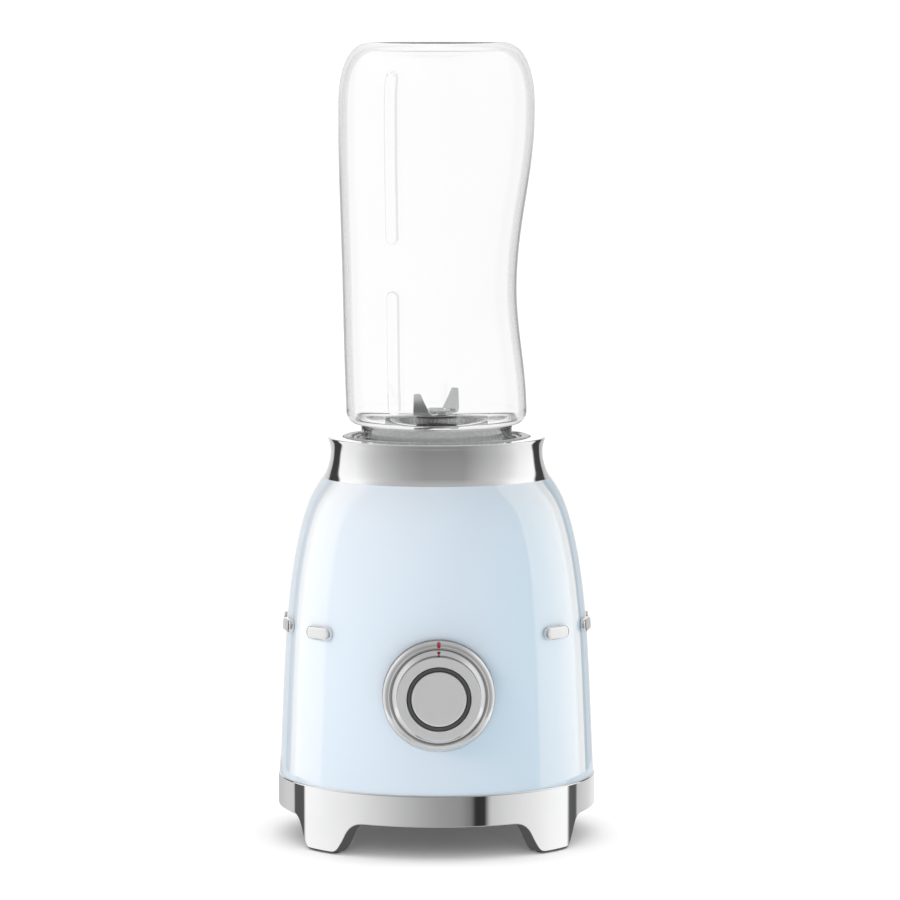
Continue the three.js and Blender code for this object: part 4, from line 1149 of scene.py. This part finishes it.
def add_card(name, points, faces, **seen_by):
    """A card that only some kinds of ray meet; returns the graph of its shader."""
    mesh = bpy.data.meshes.new(name)
    mesh.from_pydata(points, [], faces)
    finish = Finish(name, Roughness=1.0, Specular_IOR_Level=0.0, Emission_Strength=1.0)
    finish.shader.inputs["Base Color"].default_value = (0, 0, 0, 1)
    finish.shader.inputs["Emission Color"].default_value = (1, 1, 1, 1)
    mesh.materials.append(finish.material)
    card = place(name, mesh)
    card.location = (0, AXIS_Y, 0)
    for kind in ("camera", "diffuse", "glossy", "transmission", "shadow", "volume_scatter"):
        setattr(card, f"visible_{kind}", seen_by.get(kind, False))
    return finish


RING_WALL_RADIUS, RING_WALL_STEPS = 0.15, 144
# A dark disc on the table seen only in reflections, glowing dimly: painted shadow under the ring.
CONTACT_RADIUS, CONTACT_HEIGHT, CONTACT_GLOW = 0.066, 0.0004, 0.09


def add_cards():
    """What the bright ring sees in reflections: a dark card under it, painted shadow of the table, and a
    glowing low wall round it, painted reflections.
    """
    rim = [(CONTACT_RADIUS * math.cos(a), CONTACT_RADIUS * math.sin(a), CONTACT_HEIGHT)
           for a in (TAU * k / 64 for k in range(64))]
    shadow_card = add_card("painted_contact_shadow_card", rim, [tuple(range(64))], glossy=True)
    shadow_card.shader.inputs["Emission Strength"].default_value = CONTACT_GLOW

    # A band round the ring, glowing brighter and darker by direction and seen only in reflections: painted
    # reflections on the bright ring.
    points, faces = [], []
    count = 2 * RING_WALL_STEPS
    for k in range(RING_WALL_STEPS):
        a = TAU * k / RING_WALL_STEPS
        x, y = RING_WALL_RADIUS * math.cos(a), RING_WALL_RADIUS * math.sin(a)
        points += [(x, y, -0.028), (x, y, 0.0115)]
        faces.append((2 * k, 2 * k + 1, (2 * k + 3) % count, (2 * k + 2) % count))
    wall = add_card("painted_reflection_wall", points, faces, glossy=True)
    stops = []
    ring = half_width("base_ring") * MM
    for turn, value in RING_BAND:
        out, away = math.radians(turn / 2), math.radians(turn)
        across = ring * math.sin(away - out)
        reach = -ring * math.cos(away - out) + math.sqrt(RING_WALL_RADIUS ** 2 - across ** 2)
        x = ring * math.sin(out) + reach * math.sin(away)
        y = ring * math.cos(out) + reach * math.cos(away)
        stops.append((math.degrees(math.atan2(x, y)), value))
    split = wall.node("ShaderNodeSeparateXYZ")
    wall.link(wall.place, split.inputs["Vector"])
    brightness = wall.band(split.outputs["X"], split.outputs["Y"], stops)
    wall.link(brightness, wall.shader.inputs["Emission Strength"])


def add_floor():
    """A plain pale table top, wide enough to reach past the view."""
    mesh = bpy.data.meshes.new("floor")
    size = 60
    corners = [(-size, -size, 0), (size, -size, 0), (size, size, 0), (-size, size, 0)]
    mesh.from_pydata(corners, [], [(0, 1, 2, 3)])
    floor = place("floor", mesh)
    white = Finish("pale_table", Roughness=0.6, Specular_IOR_Level=0.1)
    white.colour(white.spread(white.noise(3, 2), 0, 1), (0.93, 0.93, 0.93), (0.94, 0.94, 0.94))
    mesh.materials.append(white.material)
    floor.visible_glossy = False
    floor.visible_transmission = False
    return floor


# ---- the scene -------------------------------------------------------------------------------

finish_cad_nodes()
add_base_ring()
add_foot_pads()
add_bottom()
add_body()
add_side_bars()
add_collar()
add_seat()
add_gland()
add_dial()
add_marks()
add_blade_holder()
add_blades()
add_bottle()
make_world()
add_camera()
add_lamps(bpy.data.objects["painted_body_shell"], add_floor())
add_cards()
bpy.context.scene.view_settings.view_transform = "Standard"
